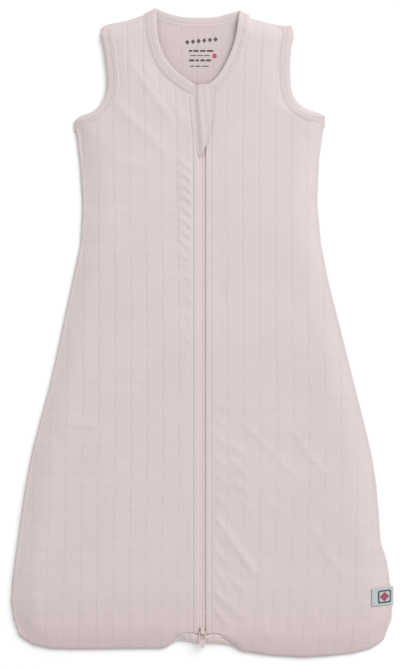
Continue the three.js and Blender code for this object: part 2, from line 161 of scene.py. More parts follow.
def hinge(name):
    """A hinge's place, in millimetres, and the level direction square to its axis."""
    joint = next(j for j in frame["joints"] if j["name"] == name)
    return np.array(joint["pos_m"]) / MM, np.array([-joint["axis"][Y], joint["axis"][X], 0.0])


def silhouette(edges, axis, way, low, high, step=1.0):
    """How far edges reach along the other level axis, as a function of a place on axis. way is 1 or -1."""
    across = 1 - axis
    reach, kept = [], []
    for place in np.arange(low, high + step, step):
        a, b = edges[:, 0, axis] - place, edges[:, 1, axis] - place
        hit = (a * b <= 0) & (np.abs(a - b) > 1e-9)
        if not hit.any():
            continue
        share = a[hit] / (a[hit] - b[hit])
        ends = edges[hit][:, :, across]
        at = ends[:, 0] + (ends[:, 1] - ends[:, 0]) * share
        reach.append(at.max() if way > 0 else at.min())
        kept.append(place)
    kept, reach = np.array(kept), np.array(reach)
    return lambda v: np.interp(v, kept, reach)


def extreme(points, direction):
    return points[np.argmax(points[:, :2] @ np.array(direction))]


def along(points):
    steps = np.linalg.norm(np.diff(points, axis=0), axis=1)
    return np.concatenate([[0.0], np.cumsum(steps)])


def resample(points, count):
    """count points evenly spaced along a polyline."""
    points = np.asarray(points, float)
    lengths = along(points)
    at = np.linspace(0.0, lengths[-1], count)
    return np.stack([np.interp(at, lengths, points[:, k]) for k in range(points.shape[1])], axis=1)


def soften(points, passes):
    """Smooths a polyline and keeps its ends."""
    points = np.array(points, float)
    for _ in range(passes):
        points[1:-1] += 0.5 * ((points[:-2] + points[2:]) / 2 - points[1:-1])
    return points

# ---------------------------------------------------------------- the bag's outlines, read from the frame

LEFT, RIGHT = -1, 1
back_points = cad_points("back_panel")[0]
neck_points = np.concatenate(cad_points("neck_binding", "neck_binding_lapel"))
CORNER = {side: extreme(back_points, (side, -1.0)) for side in (LEFT, RIGHT)}
ARMHOLE_NODE = {LEFT: "armhole_binding_left", RIGHT: "armhole_binding_right"}
armhole_points = {side: cad_points(ARMHOLE_NODE[side])[0] for side in (LEFT, RIGHT)}
TIP = {side: extreme(armhole_points[side], (side, 1.0)) for side in (LEFT, RIGHT)}
NECK = {side: extreme(neck_points[neck_points[:, X] * side > 0], (0.0, 1.0)) for side in (LEFT, RIGHT)}
UNDERARM = {}
for side in (LEFT, RIGHT):
    near = armhole_points[side][armhole_points[side][:, Y] < box_mm(ARMHOLE_NODE[side])[0][Y] + 20]
    UNDERARM[side] = extreme(near, (2.0 * side, 1.0))

back_edges = cad_edges("back_panel", "neck_binding", *ARMHOLE_NODE.values())
outer_x = {
    side: silhouette(back_edges, Y, side, CORNER[side][Y], TIP[side][Y] - 0.5) for side in (LEFT, RIGHT)
}
hem_y = silhouette(back_edges, X, -1, CORNER[LEFT][X], CORNER[RIGHT][X])
top_edge = silhouette(back_edges, X, 1, TIP[LEFT][X], TIP[RIGHT][X])


def top_y(x):
    """The bag's upper edge. Beyond the shoulders it stays level."""
    return top_edge(np.clip(x, TIP[LEFT][X], TIP[RIGHT][X]))


FRONT_NODES = {LEFT: ("front_left_side", "front_left_lapel"), RIGHT: ("front_right",)}
facing_edges = cad_edges("zip_end_patch")
FACING_LOW, FACING_HIGH = box_mm("zip_end_patch")
facing_top_y = silhouette(facing_edges, X, 1, FACING_LOW[X] + 0.1, FACING_HIGH[X] - 0.1, 0.5)
FACING_GAP = 0.3  # from the facing's upper edge to the fronts' lower edges


def foot_y(x):
    """Lower edge of the fronts: the hem, but curving up over the facing beside the foot of the zip."""
    inside = smooth((x - FACING_LOW[X] + 5.0) / 5.0) * smooth((FACING_HIGH[X] + 5.0 - x) / 5.0)
    return hem_y(x) + (facing_top_y(x) + FACING_GAP - hem_y(x)) * inside


PLACKET_LOW_Y = foot_y(0.0)
NECK_LOW_Y = box_mm("neck_binding_lapel")[0][Y] + BAND_WIDTH - 0.6
PLACKET_HIGH_Y = NECK_LOW_Y - 14.0  # a front's edge beside the zip is read from the frame up to here
NECK_STEEP_Y = 288.0  # above this the neckline runs straight to its corner
placket_x, neckline = {}, {}
for side in (LEFT, RIGHT):
    panel_edges = cad_edges(*FRONT_NODES[side])
    placket_x[side] = silhouette(panel_edges, Y, -side, PLACKET_LOW_Y + 1.5, PLACKET_HIGH_Y)
    band_edges = cad_edges("neck_binding", "neck_binding_lapel")
    band_edges = band_edges[(band_edges[:, :, X] * side > 0.5).all(axis=1)]
    neck_x = silhouette(band_edges, Y, -side, NECK_LOW_Y + 1.5, NECK_STEEP_Y)
    rows = np.arange(NECK_LOW_Y + 2, NECK_STEEP_Y, 1.0)
    start = (placket_x[side](PLACKET_HIGH_Y) + 0.4 * side, NECK_LOW_Y)
    curve = [start, *zip(neck_x(rows), rows), NECK[side][:2]]
    neckline[side] = resample(soften(resample(curve, 60), 12), 90)


def shoulder_y(side, x):
    inner, outer = NECK[side][X], TIP[side][X]
    clipped = np.clip(x, min(inner, outer), max(inner, outer))
    return top_y(clipped)

# ---------------------------------------------------------------- heights

FRONT_TOP = box_mm("front_right")[1][Z]
SEAM_TOP = box_mm("front_right")[0][Z] + CLOTH
SEAM_LINE = SEAM_TOP - SEAM_ROUND
BACK_TOP = CLOTH
BACK_EDGE = 0.8  # how high the back's edges lie


def front_top(side, x, y):
    """Height of the front's upper surface, without its folds."""
    inward_side = (x - outer_x[side](y)) * -side
    inward_hem = y - hem_y(x)
    below_shoulder = shoulder_y(side, x) - y
    armhole = smooth((y - ARMHOLE_LOW_Y) / 16.0) * smooth((ARMHOLE_HIGH_Y - y) / 12.0)
    low = SEAM_TOP + ARMHOLE_LIFT * armhole
    margin = ZIP_END_MARGIN + (HEM_MARGIN - ZIP_END_MARGIN) * smooth((np.abs(x) - ZIP_END_HALF_WIDTH) / 30.0)
    share = rise(inward_side / SIDE_MARGIN) * rise(inward_hem / margin)
    share = share * rise(below_shoulder / SHOULDER_MARGIN)
    return low + (FRONT_TOP - low) * share


def back_under(x, y):
    inward = np.minimum(x - outer_x[LEFT](y), outer_x[RIGHT](y) - x)
    inward = np.minimum(inward, y - hem_y(x))
    inward = np.minimum(inward, top_y(x) - y)
    return BACK_EDGE * (1.0 - smooth(inward / BACK_MARGIN))


BACK_SLACK = 3.0  # how high the back bellies up inside the neckline
BELLY_LOW_Y, BELLY_X, BELLY_HALF_WIDTH = 205.0, -4.0, 62.0


def back_belly(x, y):
    inside = smooth((y - BELLY_LOW_Y) / 40.0) * smooth((BELLY_HALF_WIDTH - np.abs(x - BELLY_X)) / 30.0)
    near_band = smooth((top_y(x) - y + 4.0) / 34.0)
    return BACK_SLACK * inside * near_band


class FoldRow(NamedTuple):
    """Folds pressed into a front, side by side. first and last are where the row's end folds start."""

    first: tuple
    last: tuple
    count: int
    run: tuple  # from a fold's start to its end
    width: float
    height: float
    fade: float = 1.0  # the last fold's height as a share of the first's


FOLD_ROWS = (
    # puckers beside the left placket, pulled up by its stitching
    FoldRow((-22, 165), (-23, 68), 10, (13, -11), 2.5, 1.15, 0.6),
    FoldRow((-18, 55), (-19, -18), 5, (10, -9), 2.4, 0.65, 0.45),
    # drags across the left chest, from the shoulder down to the placket
    FoldRow((-70, 259), (-44, 223), 3, (18, -28), 5.0, 0.85),
    FoldRow((-58, 256), (-35, 227), 2, (16, -25), 4.3, 0.7),
    FoldRow((-86, 225), (-49, 188), 4, (19, -25), 5.2, 0.55),
    FoldRow((-88, 167), (-88, 167), 1, (39, -10), 5.0, 0.5),
    # drags that leave the right placket, deeper towards the foot of the zip
    FoldRow((12, -64), (13, -155), 6, (12, -11), 2.6, 0.45, 1.7),
    FoldRow((12, -186), (11, -264), 5, (12, -16), 2.7, 0.75, 1.4),
    FoldRow((12, -176), (29, -202), 2, (20, -29), 3.4, 1.35),
    FoldRow((24, -231), (22, -284), 3, (17, -17), 3.2, 0.7),
    # their ends, further out across the right front
    FoldRow((23, -102), (33, -158), 4, (16, -15), 3.0, 0.65),
    FoldRow((45, -178), (58, -159), 2, (20, -19), 3.4, 0.45),
    FoldRow((37, -83), (72, -120), 3, (20, -19), 3.2, 0.55),
    FoldRow((84, -93), (105, -122), 3, (14, -18), 3.1, 0.6),
    FoldRow((103, -186), (123, -216), 3, (11, -17), 3.5, 0.6),
    # under the arms
    FoldRow((-118, 208), (-117, 198), 2, (14, -13), 4.5, 0.6),
    FoldRow((113, 203), (113, 203), 1, (-13, -13), 4.0, 0.8),
    # creases that run in from the side seams
    FoldRow((-136, -86), (-136, -86), 1, (36, -4), 4.0, 0.9),
    FoldRow((-139, -94), (-139, -94), 1, (3, -18), 5.0, -0.8),
    FoldRow((165, -208), (165, -208), 1, (-15, -20), 5.0, -0.9),
    # short upright folds along the hem
    FoldRow((-158, -270), (-42, -287), 6, (3, 20), 4.5, 0.55),
    FoldRow((65, -293), (158, -272), 5, (-6, 21), 4.9, 0.52),
    FoldRow((-18, -288), (-18, -288), 1, (-16, -11), 4.0, 0.6),
)
FOLD_SCATTER = 1.2  # how far a fold may start from its place in the row


def folds():
    """Every fold's start, run, width and height, each a little different from its neighbours."""
    rng = np.random.default_rng(FOLD_SEED)
    for row in FOLD_ROWS:
        for share in np.linspace(0.0, 1.0, row.count):
            start = np.array(row.first) + (np.array(row.last) - row.first) * share
            start = start + rng.uniform(-FOLD_SCATTER, FOLD_SCATTER, 2)
            run = np.array(row.run) * rng.uniform(0.85, 1.15)
            height = row.height * (1.0 + (row.fade - 1.0) * share) * rng.uniform(0.85, 1.15)
            yield start, run, row.width * rng.uniform(0.9, 1.1), height


def ridges(x, y):
    """How high the folds stand."""
    total = np.zeros_like(x)
    for (start_x, start_y), (dx, dy), width, height in folds():
        length = math.hypot(dx, dy)
        share = ((x - start_x) * dx + (y - start_y) * dy) / length**2
        across = ((x - start_x) * dy - (y - start_y) * dx) / length
        fade = smooth((share + 0.15) / 0.4) * smooth((1.15 - share) / 0.4)
        steeper = 1 - 0.55 * bell(across / width - 1)  # on the ridge's lower side
        total += height * fade * bell(across / width) * steeper
    return total


def ripples(x, y, scale, seed, count=9):
    """Gentle, repeatable unevenness: a few waves that run in different directions."""
    rng = np.random.default_rng(seed)
    total = np.zeros_like(x)
    for _ in range(count):
        angle, phase = rng.uniform(0, 2 * np.pi, 2)
        length = scale * rng.uniform(0.6, 1.7)
        total += np.sin((x * math.cos(angle) + y * math.sin(angle)) * 2 * np.pi / length + phase)
    return total / count


class Weave(NamedTuple):
    """How a panel's upright lines drift from straight, in millimetres at the edge of the bag."""

    pitch: float  # from one line to the next
    shift: float  # of the whole pattern
    lean: float = 0.0  # out to one side towards the neck
    bow: float = 0.0  # the same way at neck and hem
    swing: float = 0.0  # like a lean, but mostly near neck and hem
    fan: float = 0.0  # apart towards the neck
    flare: float = 0.0  # a lean that grows with the distance from the zip
    spread: float = 0.0  # a shift that grows with the distance from the zip


BACK = 0  # the back's own key, beside LEFT and RIGHT
WEAVES = {
    LEFT: Weave(15.3, 7.5, lean=1.0, bow=3.0, fan=-3.5, flare=-7.5, spread=-1.0),
    RIGHT: Weave(16.1, -7.3, lean=4.5, bow=2.0, swing=-9.0, fan=-4.5, flare=7.5, spread=7.0),
    BACK: Weave(15.3, 5.2),
}
DRIFT_SPAN = (150.0, 300.0)  # how far out and up the numbers of a weave's drift are for
WEFT_SHIFT = 1.5  # of the level lines, up on the right front and down on the left one
WEFT_SLOPE = 0.2  # of the right front's level lines, near its neck
WEFT_SLOPE_LOW_Y = -60.0  # where that slope starts


def drift(weave, x, y):
    u, v = x / DRIFT_SPAN[X], y / DRIFT_SPAN[Y]
    across = weave.shift + weave.fan * u * v + weave.spread * u**2
    return across + (weave.lean + weave.flare * u**2) * v + weave.bow * v**2 + weave.swing * v**3


def grain(side, x, y):
    """The cloth's own threads: how far across and along the weave a point lies."""
    weave = WEAVES[side]
    across = (x + drift(weave, x, y)) * WARP_PITCH / weave.pitch + 0.18 * ripples(x, y, 60.0, 3)
    up = y + 1.6 * ripples(x, y, 120.0, 4) + 0.5 * ripples(x, y, 40.0, 5) + side * WEFT_SHIFT
    if side == RIGHT:
        up = up - x * WEFT_SLOPE * smooth((y - WEFT_SLOPE_LOW_Y) / 260.0)
    return across, up


def from_line(value, pitch):
    return np.abs(value / pitch - np.round(value / pitch)) * pitch


def pillow(across, up):
    """The weave puffs up a little between the lines of its windowpane."""
    warp, weft = from_line(across, WARP_PITCH), from_line(up, WEFT_PITCH)
    return 0.05 * bell((warp - 2.2) / 0.9) - 0.16 * bell(warp / 1.1) - 0.05 * bell(weft / 1.1)

# ---------------------------------------------------------------- meshes


def add_piece(name, mesh, material):
    """Puts a mesh into the scene, smooth and with one material."""
    mesh.polygons.foreach_set("use_smooth", np.ones(len(mesh.polygons), bool))
    mesh.materials.append(material)
    made = bpy.data.objects.new(name, mesh)
    bpy.context.scene.collection.objects.link(made)
    return made


def add_mesh(name, points, faces, material, threads=None):
    """A piece from points in millimetres. threads holds each point's place in the weave."""
    mesh = bpy.data.meshes.new(name)
    mesh.from_pydata((np.asarray(points, float) * MM).tolist(), [], faces)
    if threads is not None:
        layer = mesh.attributes.new("grain", "FLOAT_VECTOR", "POINT")
        layer.data.foreach_set("vector", np.asarray(threads, np.float32).ravel())
    mesh.update()
    return add_piece(name, mesh, material)


def add_closed(name, points, faces, material, threads=None):
    """The same, with its faces turned outwards."""
    made = add_mesh(name, points, faces, material, threads)
    shape = bmesh.new()
    shape.from_mesh(made.data)
    bmesh.ops.recalc_face_normals(shape, faces=shape.faces)
    shape.to_mesh(made.data)
    shape.free()
    return made


def grid_faces(rows, columns, offset=0, flip=False):
    index = np.arange(rows * columns).reshape(rows, columns) + offset
    corners = (index[:-1, :-1], index[:-1, 1:], index[1:, 1:], index[1:, :-1])
    faces = np.stack(corners, axis=-1).reshape(-1, 4)
    return faces[:, ::-1] if flip else faces


def tube_faces(rings, ring):
    """The faces of a tube, where each ring of points joins the next, then the two that close its ends."""
    index = np.arange(rings * ring).reshape(rings, ring)
    turned = np.roll(index, -1, axis=1)
    round_faces = np.stack([index[:-1], turned[:-1], turned[1:], index[1:]], axis=-1)
    return round_faces.reshape(-1, 4).tolist() + [index[0, ::-1].tolist(), index[-1].tolist()]


def closed_sheet(name, top, bottom, material, threads):
    """Cloth with an upper and a lower surface, closed round its rim. x grows with the column."""
    rows, columns = top.shape[:2]
    half = rows * columns
    index = np.arange(half).reshape(rows, columns)
    rim = np.concatenate([index[0, :-1], index[:-1, -1], index[-1, :0:-1], index[:0:-1, 0]])
    after = np.roll(rim, -1)
    rim_faces = np.stack([rim, rim + half, after + half, after], axis=-1)
    lower_faces = grid_faces(rows, columns, half, flip=True)
    faces = np.concatenate([grid_faces(rows, columns), lower_faces, rim_faces]).tolist()
    points = np.concatenate([top.reshape(-1, 3), bottom.reshape(-1, 3)])
    doubled = np.concatenate([threads.reshape(-1, 3), threads.reshape(-1, 3)])
    return add_mesh(name, points, faces, material, doubled)


def edge_round(distance, radius):
    """How much of its half-thickness a sheet keeps near a rounded edge."""
    share = np.clip(distance / radius, 0.0, 1.0)
    return np.sqrt(np.clip(1.0 - (1.0 - share) ** 2, 0.0, 1.0))


def thinned(least, *edges):
    """The same near several edges, each a distance and a radius, and never less than least."""
    return np.maximum(np.minimum.reduce([edge_round(*edge) for edge in edges]), least)


def dress(piece, slot, *replaced):
    if replaced:
        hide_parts(*replaced)
    return piece


def finish_piece(piece, body, slot, *replaced):
    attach(piece, body)
    return dress(piece, slot, *replaced)


def finish_bending(piece, bodies, joint, ends, slot, *replaced):
    """Bakes a piece's place into its mesh and hides the frame's parts that it replaces. The piece passes from
    one body to the other, between two distances beside a hinge, but it is tied to neither body; bodies and
    ends are not used.
    """
    at, across = hinge(joint)
    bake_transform(piece)
    return dress(piece, slot, *replaced)


def finish_folding(piece, slot, *replaced):
    """Hands finish_bending a piece that crosses the crease where the left front turns back."""
    return finish_bending(piece, ("bag", "left_lapel"), "left_front_fold", (0.0, FOLD_BAND), slot, *replaced)

# ---------------------------------------------------------------- materials


class Nodes:
    """A short way to write a material's node tree."""

    def __init__(self, name):
        self.material = bpy.data.materials.new(name)
        self.material.use_nodes = True
        self.tree = self.material.node_tree
        self.shader = self.tree.nodes["Principled BSDF"]

    def node(self, kind, **settings):
        made = self.tree.nodes.new(kind)
        for key, value in settings.items():
            setattr(made, key, value)
        return made

    def plug(self, value, socket):
        if isinstance(value, bpy.types.NodeSocket):
            self.tree.links.new(value, socket)
        elif isinstance(value, bpy.types.Node):
            self.tree.links.new(value.outputs[0], socket)
        else:
            socket.default_value = value

    def math(self, operation, a, b=0.0, c=0.0, clamp=False):
        made = self.node("ShaderNodeMath", operation=operation, use_clamp=clamp)
        for value, socket in zip((a, b, c), made.inputs):
            self.plug(value, socket)
        return made.outputs[0]

    def ramp(self, value, low, high, out_low=0.0, out_high=1.0):
        made = self.node("ShaderNodeMapRange", interpolation_type="SMOOTHSTEP")
        parts = {"Value": value, "From Min": low, "From Max": high, "To Min": out_low, "To Max": out_high}
        for key, part in parts.items():
            self.plug(part, made.inputs[key])
        return made.outputs[0]

    def mix(self, factor, a, b):
        made = self.node("ShaderNodeMix", data_type="RGBA")
        self.plug(factor, made.inputs["Factor"])
        self.plug(a, made.inputs[6])
        self.plug(b, made.inputs[7])
        return made.outputs[2]

    def noise(self, vector, scale, detail=2.0):
        made = self.node("ShaderNodeTexNoise")
        self.plug(vector, made.inputs["Vector"])
        made.inputs["Scale"].default_value = scale
        made.inputs["Detail"].default_value = detail
        return made.outputs["Fac"]

    def line(self, value, pitch, width):
        """1 on lines a pitch apart, 0 off them."""
        off = self.math("PINGPONG", value, pitch / 2)
        return self.ramp(off, width * 0.35, width, 1.0, 0.0)

    def wave(self, value, pitch):
        return self.math("SINE", self.math("MULTIPLY", value, 2 * math.pi / pitch))

    def position(self):
        return self.node("ShaderNodeNewGeometry").outputs["Position"]

    def split(self, vector):
        """The three numbers of a vector."""
        made = self.node("ShaderNodeSeparateXYZ")
        self.plug(vector, made.inputs[0])
        return made.outputs[0], made.outputs[1], made.outputs[2]

    def stretched(self, vector, *scale):
        made = self.node("ShaderNodeVectorMath", operation="MULTIPLY")
        self.plug(vector, made.inputs[0])
        made.inputs[1].default_value = scale
        return made.outputs[0]

    def set(self, **values):
        for key, value in values.items():
            self.plug(value, self.shader.inputs[key.replace("_", " ")])

    def relief(self, height, distance, strength=1.0):
        made = self.node("ShaderNodeBump")
        made.inputs["Distance"].default_value = distance * MM
        made.inputs["Strength"].default_value = strength
        self.plug(height, made.inputs["Height"])
        self.plug(made.outputs[0], self.shader.inputs["Normal"])


def srgb(*values):
    """A colour given as it looks on a screen, 0 to 255, as linear light."""
    return (*[(v / 255 / 12.92) if v < 10.3 else ((v / 255 + 0.055) / 1.055) ** 2.4 for v in values], 1.0)


COTTON_THREAD = 0.62  # the pitch of the cotton's own weave
HEM_PAINTED_SHADE = (-290.0, -225.0)  # painted shade: the windowpane cloth is painted darker and pinker towards the hem, from the second height to the first


def windowpane_lines(n, grain_at, across, up, lined):
    """The lines of the windowpane weave: the upright ones broken into dashes, the level ones fainter."""
    dash = n.ramp(n.math("PINGPONG", up, 1.1), 0.35, 0.75, 0.3, 1.0)
    uneven = n.ramp(n.noise(grain_at, 0.09), 0.35, 0.65, 0.35, 1.0)
    warp_line = n.math("MULTIPLY", n.line(across, WARP_PITCH, 0.62), dash)
    warp_line = n.math("MULTIPLY", n.math("MULTIPLY", warp_line, uneven), n.ramp(lined, 0.0, 0.5))
    weft_line = n.math("MULTIPLY", n.line(up, WEFT_PITCH, 0.55), n.math("MULTIPLY", uneven, 0.36))
    return n.math("MAXIMUM", warp_line, n.math("MULTIPLY", weft_line, n.ramp(lined, 0.5, 1.0)))


def cloth_material(name, colour, shade, windowpane=0.0):
    """Plain-woven cotton, with windowpane lines if windowpane is above 0.

    The grain attribute holds a point's place across and along the threads. Its third number brings in the
    upright lines as it goes from 0 to 0.5, and the level ones from 0.5 to 1.
    """
    n = Nodes(name)
    grain_at = n.node("ShaderNodeAttribute", attribute_name="grain").outputs["Vector"]
    across, up, lined = n.split(grain_at)
    weave = n.math("MULTIPLY", n.wave(across, COTTON_THREAD), n.wave(up, COTTON_THREAD))
    slubs = [n.noise(n.stretched(grain_at, *scale), 1.3) for scale in ((1.0, 0.16, 1.0), (0.16, 1.0, 1.0))]
    yarn = n.math("ADD", *slubs)
    cloudy = n.noise(grain_at, 0.045, 3.0)
    speck = n.noise(grain_at, 0.42, 3.0)
    tone = n.math("MULTIPLY_ADD", n.math("SUBTRACT", yarn, 1.0), 0.6, 0.45)
    tone = n.math("MULTIPLY_ADD", n.math("SUBTRACT", speck, 0.5), 0.55, tone)
    tone = n.math("MULTIPLY_ADD", n.math("SUBTRACT", cloudy, 0.5), 0.5, tone, clamp=True)
    base = n.mix(tone, srgb(*shade), srgb(*colour))
    # random blotches of darker, pinker tone, which are the cloth's own
    blotches_and_hem_shade = n.math("MULTIPLY", n.ramp(n.noise(grain_at, 0.013), 0.42, 0.6), 0.16)
    # on the windowpane cloth, also painted shade: darker and pinker towards the hem
    if windowpane:
        blotches_and_hem_shade = n.math("MAXIMUM", blotches_and_hem_shade, n.ramp(up, *HEM_PAINTED_SHADE, 0.55, 0.0))
    base = n.mix(blotches_and_hem_shade, base, srgb(colour[0] * 0.965, colour[1] * 0.92, colour[2] * 0.92))
    height = n.math("MULTIPLY_ADD", yarn, 0.35, n.math("MULTIPLY", weave, 0.12))
    if windowpane:
        lines = windowpane_lines(n, grain_at, across, up, lined)
        base = n.mix(n.math("MULTIPLY", lines, windowpane), base, srgb(*[0.82 * c for c in shade]))
        height = n.math("MULTIPLY_ADD", lines, -0.9, height)
    n.set(Base_Color=base, Roughness=n.ramp(speck, 0.3, 0.7, 0.86, 0.97), Specular_IOR_Level=0.12)
    n.set(Sheen_Weight=0.25, Sheen_Roughness=0.45)
    n.relief(height, 0.35, 0.55)
    return n.material


def tape_material(name, colour, shade):
    """Zip tape: a fine herringbone, ribbed along its length."""
    n = Nodes(name)
    x, y, _ = n.split(n.stretched(n.position(), 1 / MM, 1 / MM, 1 / MM))
    twill = n.wave(n.math("ADD", y, n.math("PINGPONG", x, 1.1)), 0.7)
    height = n.math("MULTIPLY_ADD", twill, 0.5, n.wave(x, 0.55))
    tone = n.ramp(height, -1.4, 1.4)
    n.set(Base_Color=n.mix(tone, srgb(*shade), srgb(*colour)), Roughness=0.82, Sheen_Weight=0.15)
    n.set(Specular_IOR_Level=0.2)
    n.relief(height, 0.08, 0.6)
    return n.material


def moulded_material(name, colour, roughness, metallic=0.0, coat=0.0, grain_size=900.0, worn=0.25):
    """Nylon, paint or steel: an even colour with faint mottling, and a finely uneven surface."""
    n = Nodes(name)
    position = n.position()
    fine = n.noise(position, grain_size, 3.0)
    broad = n.noise(position, grain_size / 6, 2.0)
    dark = srgb(*[c * (1 - 0.14 * worn) for c in colour])
    light = srgb(*[min(255, c * (1 + 0.05 * worn)) for c in colour])
    n.set(Base_Color=n.mix(n.ramp(broad, 0.3, 0.7), dark, light), Metallic=metallic, Coat_Weight=coat)
    n.set(Roughness=n.ramp(fine, 0.3, 0.7, roughness * 0.85, min(1.0, roughness * 1.15)))
    n.relief(fine, 0.05, 0.25)
    return n.material


LABEL_RIB = 0.35  # the pitch of the labels' ribs


def label_material(name, colour, shade):
    """Narrow woven ribbon with fine ribs across it."""
    n = Nodes(name)
    position = n.position()
    x, y, _ = n.split(position)
    height = n.math("MULTIPLY_ADD", n.wave(x, LABEL_RIB * MM / 2), 0.4, n.wave(y, LABEL_RIB * MM))
    tone = n.math("MULTIPLY_ADD", height, 0.18, n.math("MULTIPLY", n.noise(position, 900.0), 1.1), clamp=True)
    n.set(Base_Color=n.mix(tone, srgb(*shade), srgb(*colour)), Roughness=0.6, Sheen_Weight=0.2)
    n.relief(height, 0.05, 0.5)
    return n.material


FRONT_COTTON = {
    LEFT: cloth_material("cotton_windowpane", (213, 201, 201), (204, 192, 192), windowpane=0.345),
    RIGHT: cloth_material("cotton_windowpane_right", (213, 201, 201), (204, 192, 192), windowpane=0.24),
}
# The back is the same cloth as the fronts, painted darker as the shade it lies in, low inside the neck.
BACK_COTTON_SHADED = cloth_material("cotton_windowpane_back_painted_shade", (205, 191, 191), (196, 182, 182), windowpane=0.3)
FACING_COTTON = cloth_material("cotton_facing", (226, 210, 210), (216, 200, 200))
BAND_COTTON = cloth_material("cotton_binding", (212, 199, 199), (202, 189, 189))
THREAD = moulded_material("sewing_thread", (193, 178, 178), 0.6, grain_size=2500.0)
# The tape is pale pink like the cloth, and painted lighter still, as light that offsets the shade down in the
# zip's recess.
TAPE_LIGHTENED = tape_material("zip_tape_weave_lightened", (230, 211, 212), (221, 201, 202))
NYLON = moulded_material("zip_nylon", (236, 217, 218), 0.42)
PAINT = moulded_material("slider_paint", (216, 198, 196), 0.34, metallic=0.15, coat=0.4)
STEEL = moulded_material("spring_steel", (188, 186, 183), 0.28, metallic=1.0)
MINT = label_material("label_mint_ribbon", (184, 194, 193), (170, 180, 179))
ROSE = label_material("label_rose_thread", (160, 66, 86), (142, 54, 74))
SLATE = label_material("label_slate_thread", (80, 82, 86), (62, 64, 69))
WHITE = label_material("care_ribbon", (240, 238, 234), (226, 223, 218))
INK = moulded_material("print_ink", (84, 78, 73), 0.7, grain_size=1500.0)
INK_ROSE = moulded_material("print_ink_rose", (172, 76, 94), 0.7, grain_size=1500.0)

# ---------------------------------------------------------------- the fronts

ROWS = 290
MIDDLE_COLUMNS = 62
PLACKET_COLUMNS = 24
FINE_EDGE = [0.12, 0.35, 0.7, 1.2, 1.9]  # columns beside a rounded edge, from the edge inwards
STITCH_BAND = 15.0  # width beside the zip that gets close columns
PLACKET_ROUND = 0.9  # radius of a front's folded edge
ROLL_HIGH_Y = 208.0  # where the rolled edge of a front ends
FAINT_WEFT_Y = 110.0  # above this the level lines grow faint
THIN = 0.1  # the least share of its thickness that a sheet keeps at its edge


def fraction_columns(width):
    """Distances in from the outer edge of each column, for a row of some width."""
    seam = np.array([0.0, *FINE_EDGE])
    middle = np.linspace(2.8, width - STITCH_BAND, MIDDLE_COLUMNS)
    placket = np.linspace(width - STITCH_BAND + 0.6, width - 1.6, PLACKET_COLUMNS)
    edge = width - np.array([1.0, 0.55, 0.25, 0.08, 0.0])
    return np.concatenate([seam, middle, placket, edge])


def side_edge(side):
    """The bag's outer edge from the hem's corner up to the shoulder's."""
    rows = np.arange(CORNER[side][Y], TIP[side][Y], 1.0)
    return [*zip(outer_x[side](rows), rows), TIP[side][:2]]


def inner_edge(side):
    """A front's edge from the foot of the zip up to the neck's corner."""
    rows = np.arange(PLACKET_LOW_Y, PLACKET_HIGH_Y + 2.0, 1.0)
    return [*zip(placket_x[side](rows), rows), *neckline[side]]


def chord_y(a, b, x):
    """Height at x of the straight line through a and b."""
    return a[Y] + (b[Y] - a[Y]) * (x - a[X]) / (b[X] - a[X])


def sheet_plan(first, last, columns, low, high):
    """Level places of a sheet's grid. Rows run from edge to edge, and the end rows bend to low and high."""
    x = first[:, :1] + (last[:, :1] - first[:, :1]) * columns
    y = first[:, 1:] + (last[:, 1:] - first[:, 1:]) * columns
    share = np.linspace(0.0, 1.0, len(first))[:, None]
    y = y + (low(x) - chord_y(first[0], last[0], x)) * smooth(1.0 - share / 0.3)
    return x, y + (high(x) - chord_y(first[-1], last[-1], x)) * smooth((share - 0.85) / 0.15)


def front_plan(side):
    """Level places of a front's grid, rows from the hem up, and how far each is from its two long edges."""
    outer = resample(soften(resample(side_edge(side), 400), 4), ROWS)
    inner = resample(inner_edge(side), ROWS)
    width = np.linalg.norm(inner - outer, axis=1)
    columns = np.stack([fraction_columns(w) / w for w in width])
    x, y = sheet_plan(outer, inner, columns, foot_y, lambda at: shoulder_y(side, at))
    return x, y, columns * width[:, None], (1.0 - columns) * width[:, None]


def front_surface(side, x, y, from_inner):
    """Upper surface of a front, with its folds, its quilting and its placket."""
    across, up = grain(side, x, y)
    open_cloth = smooth((from_inner - 9.0) / 5.0)
    inside = smooth((front_top(side, x, y) - SEAM_TOP) / 3.0)
    z = front_top(side, x, y)
    z = z + (0.6 * ripples(x, y, 95.0, SEED) + 0.2 * ripples(x, y, 34.0, SEED + 1)) * inside * open_cloth
    z = z + ridges(x, y) * smooth((from_inner - 6.5) / 3.0) * (0.35 + 0.65 * inside)
    z = z + pillow(across, up) * open_cloth
    below_neck = smooth((NECK_LOW_Y - 8.0 - y) / 3.0)
    from_stitch = from_inner - PLACKET_STITCH
    gathers = np.sin(up * 2 * np.pi / 5.3 + 1.3 * np.sin(up / 9.0)) * bump(from_stitch / 4.0)
    sewn = 0.25 * smooth(-from_stitch / 1.2) - 0.38 * bell(from_stitch / 0.55) + 0.07 * gathers
    rolled = 0.8 * smooth((1.7 - from_inner) / 1.7) + 0.4 * smooth((0.7 - from_inner) / 0.7)
    return z - rolled * smooth((ROLL_HIGH_Y - y) / 20.0) + below_neck * sewn


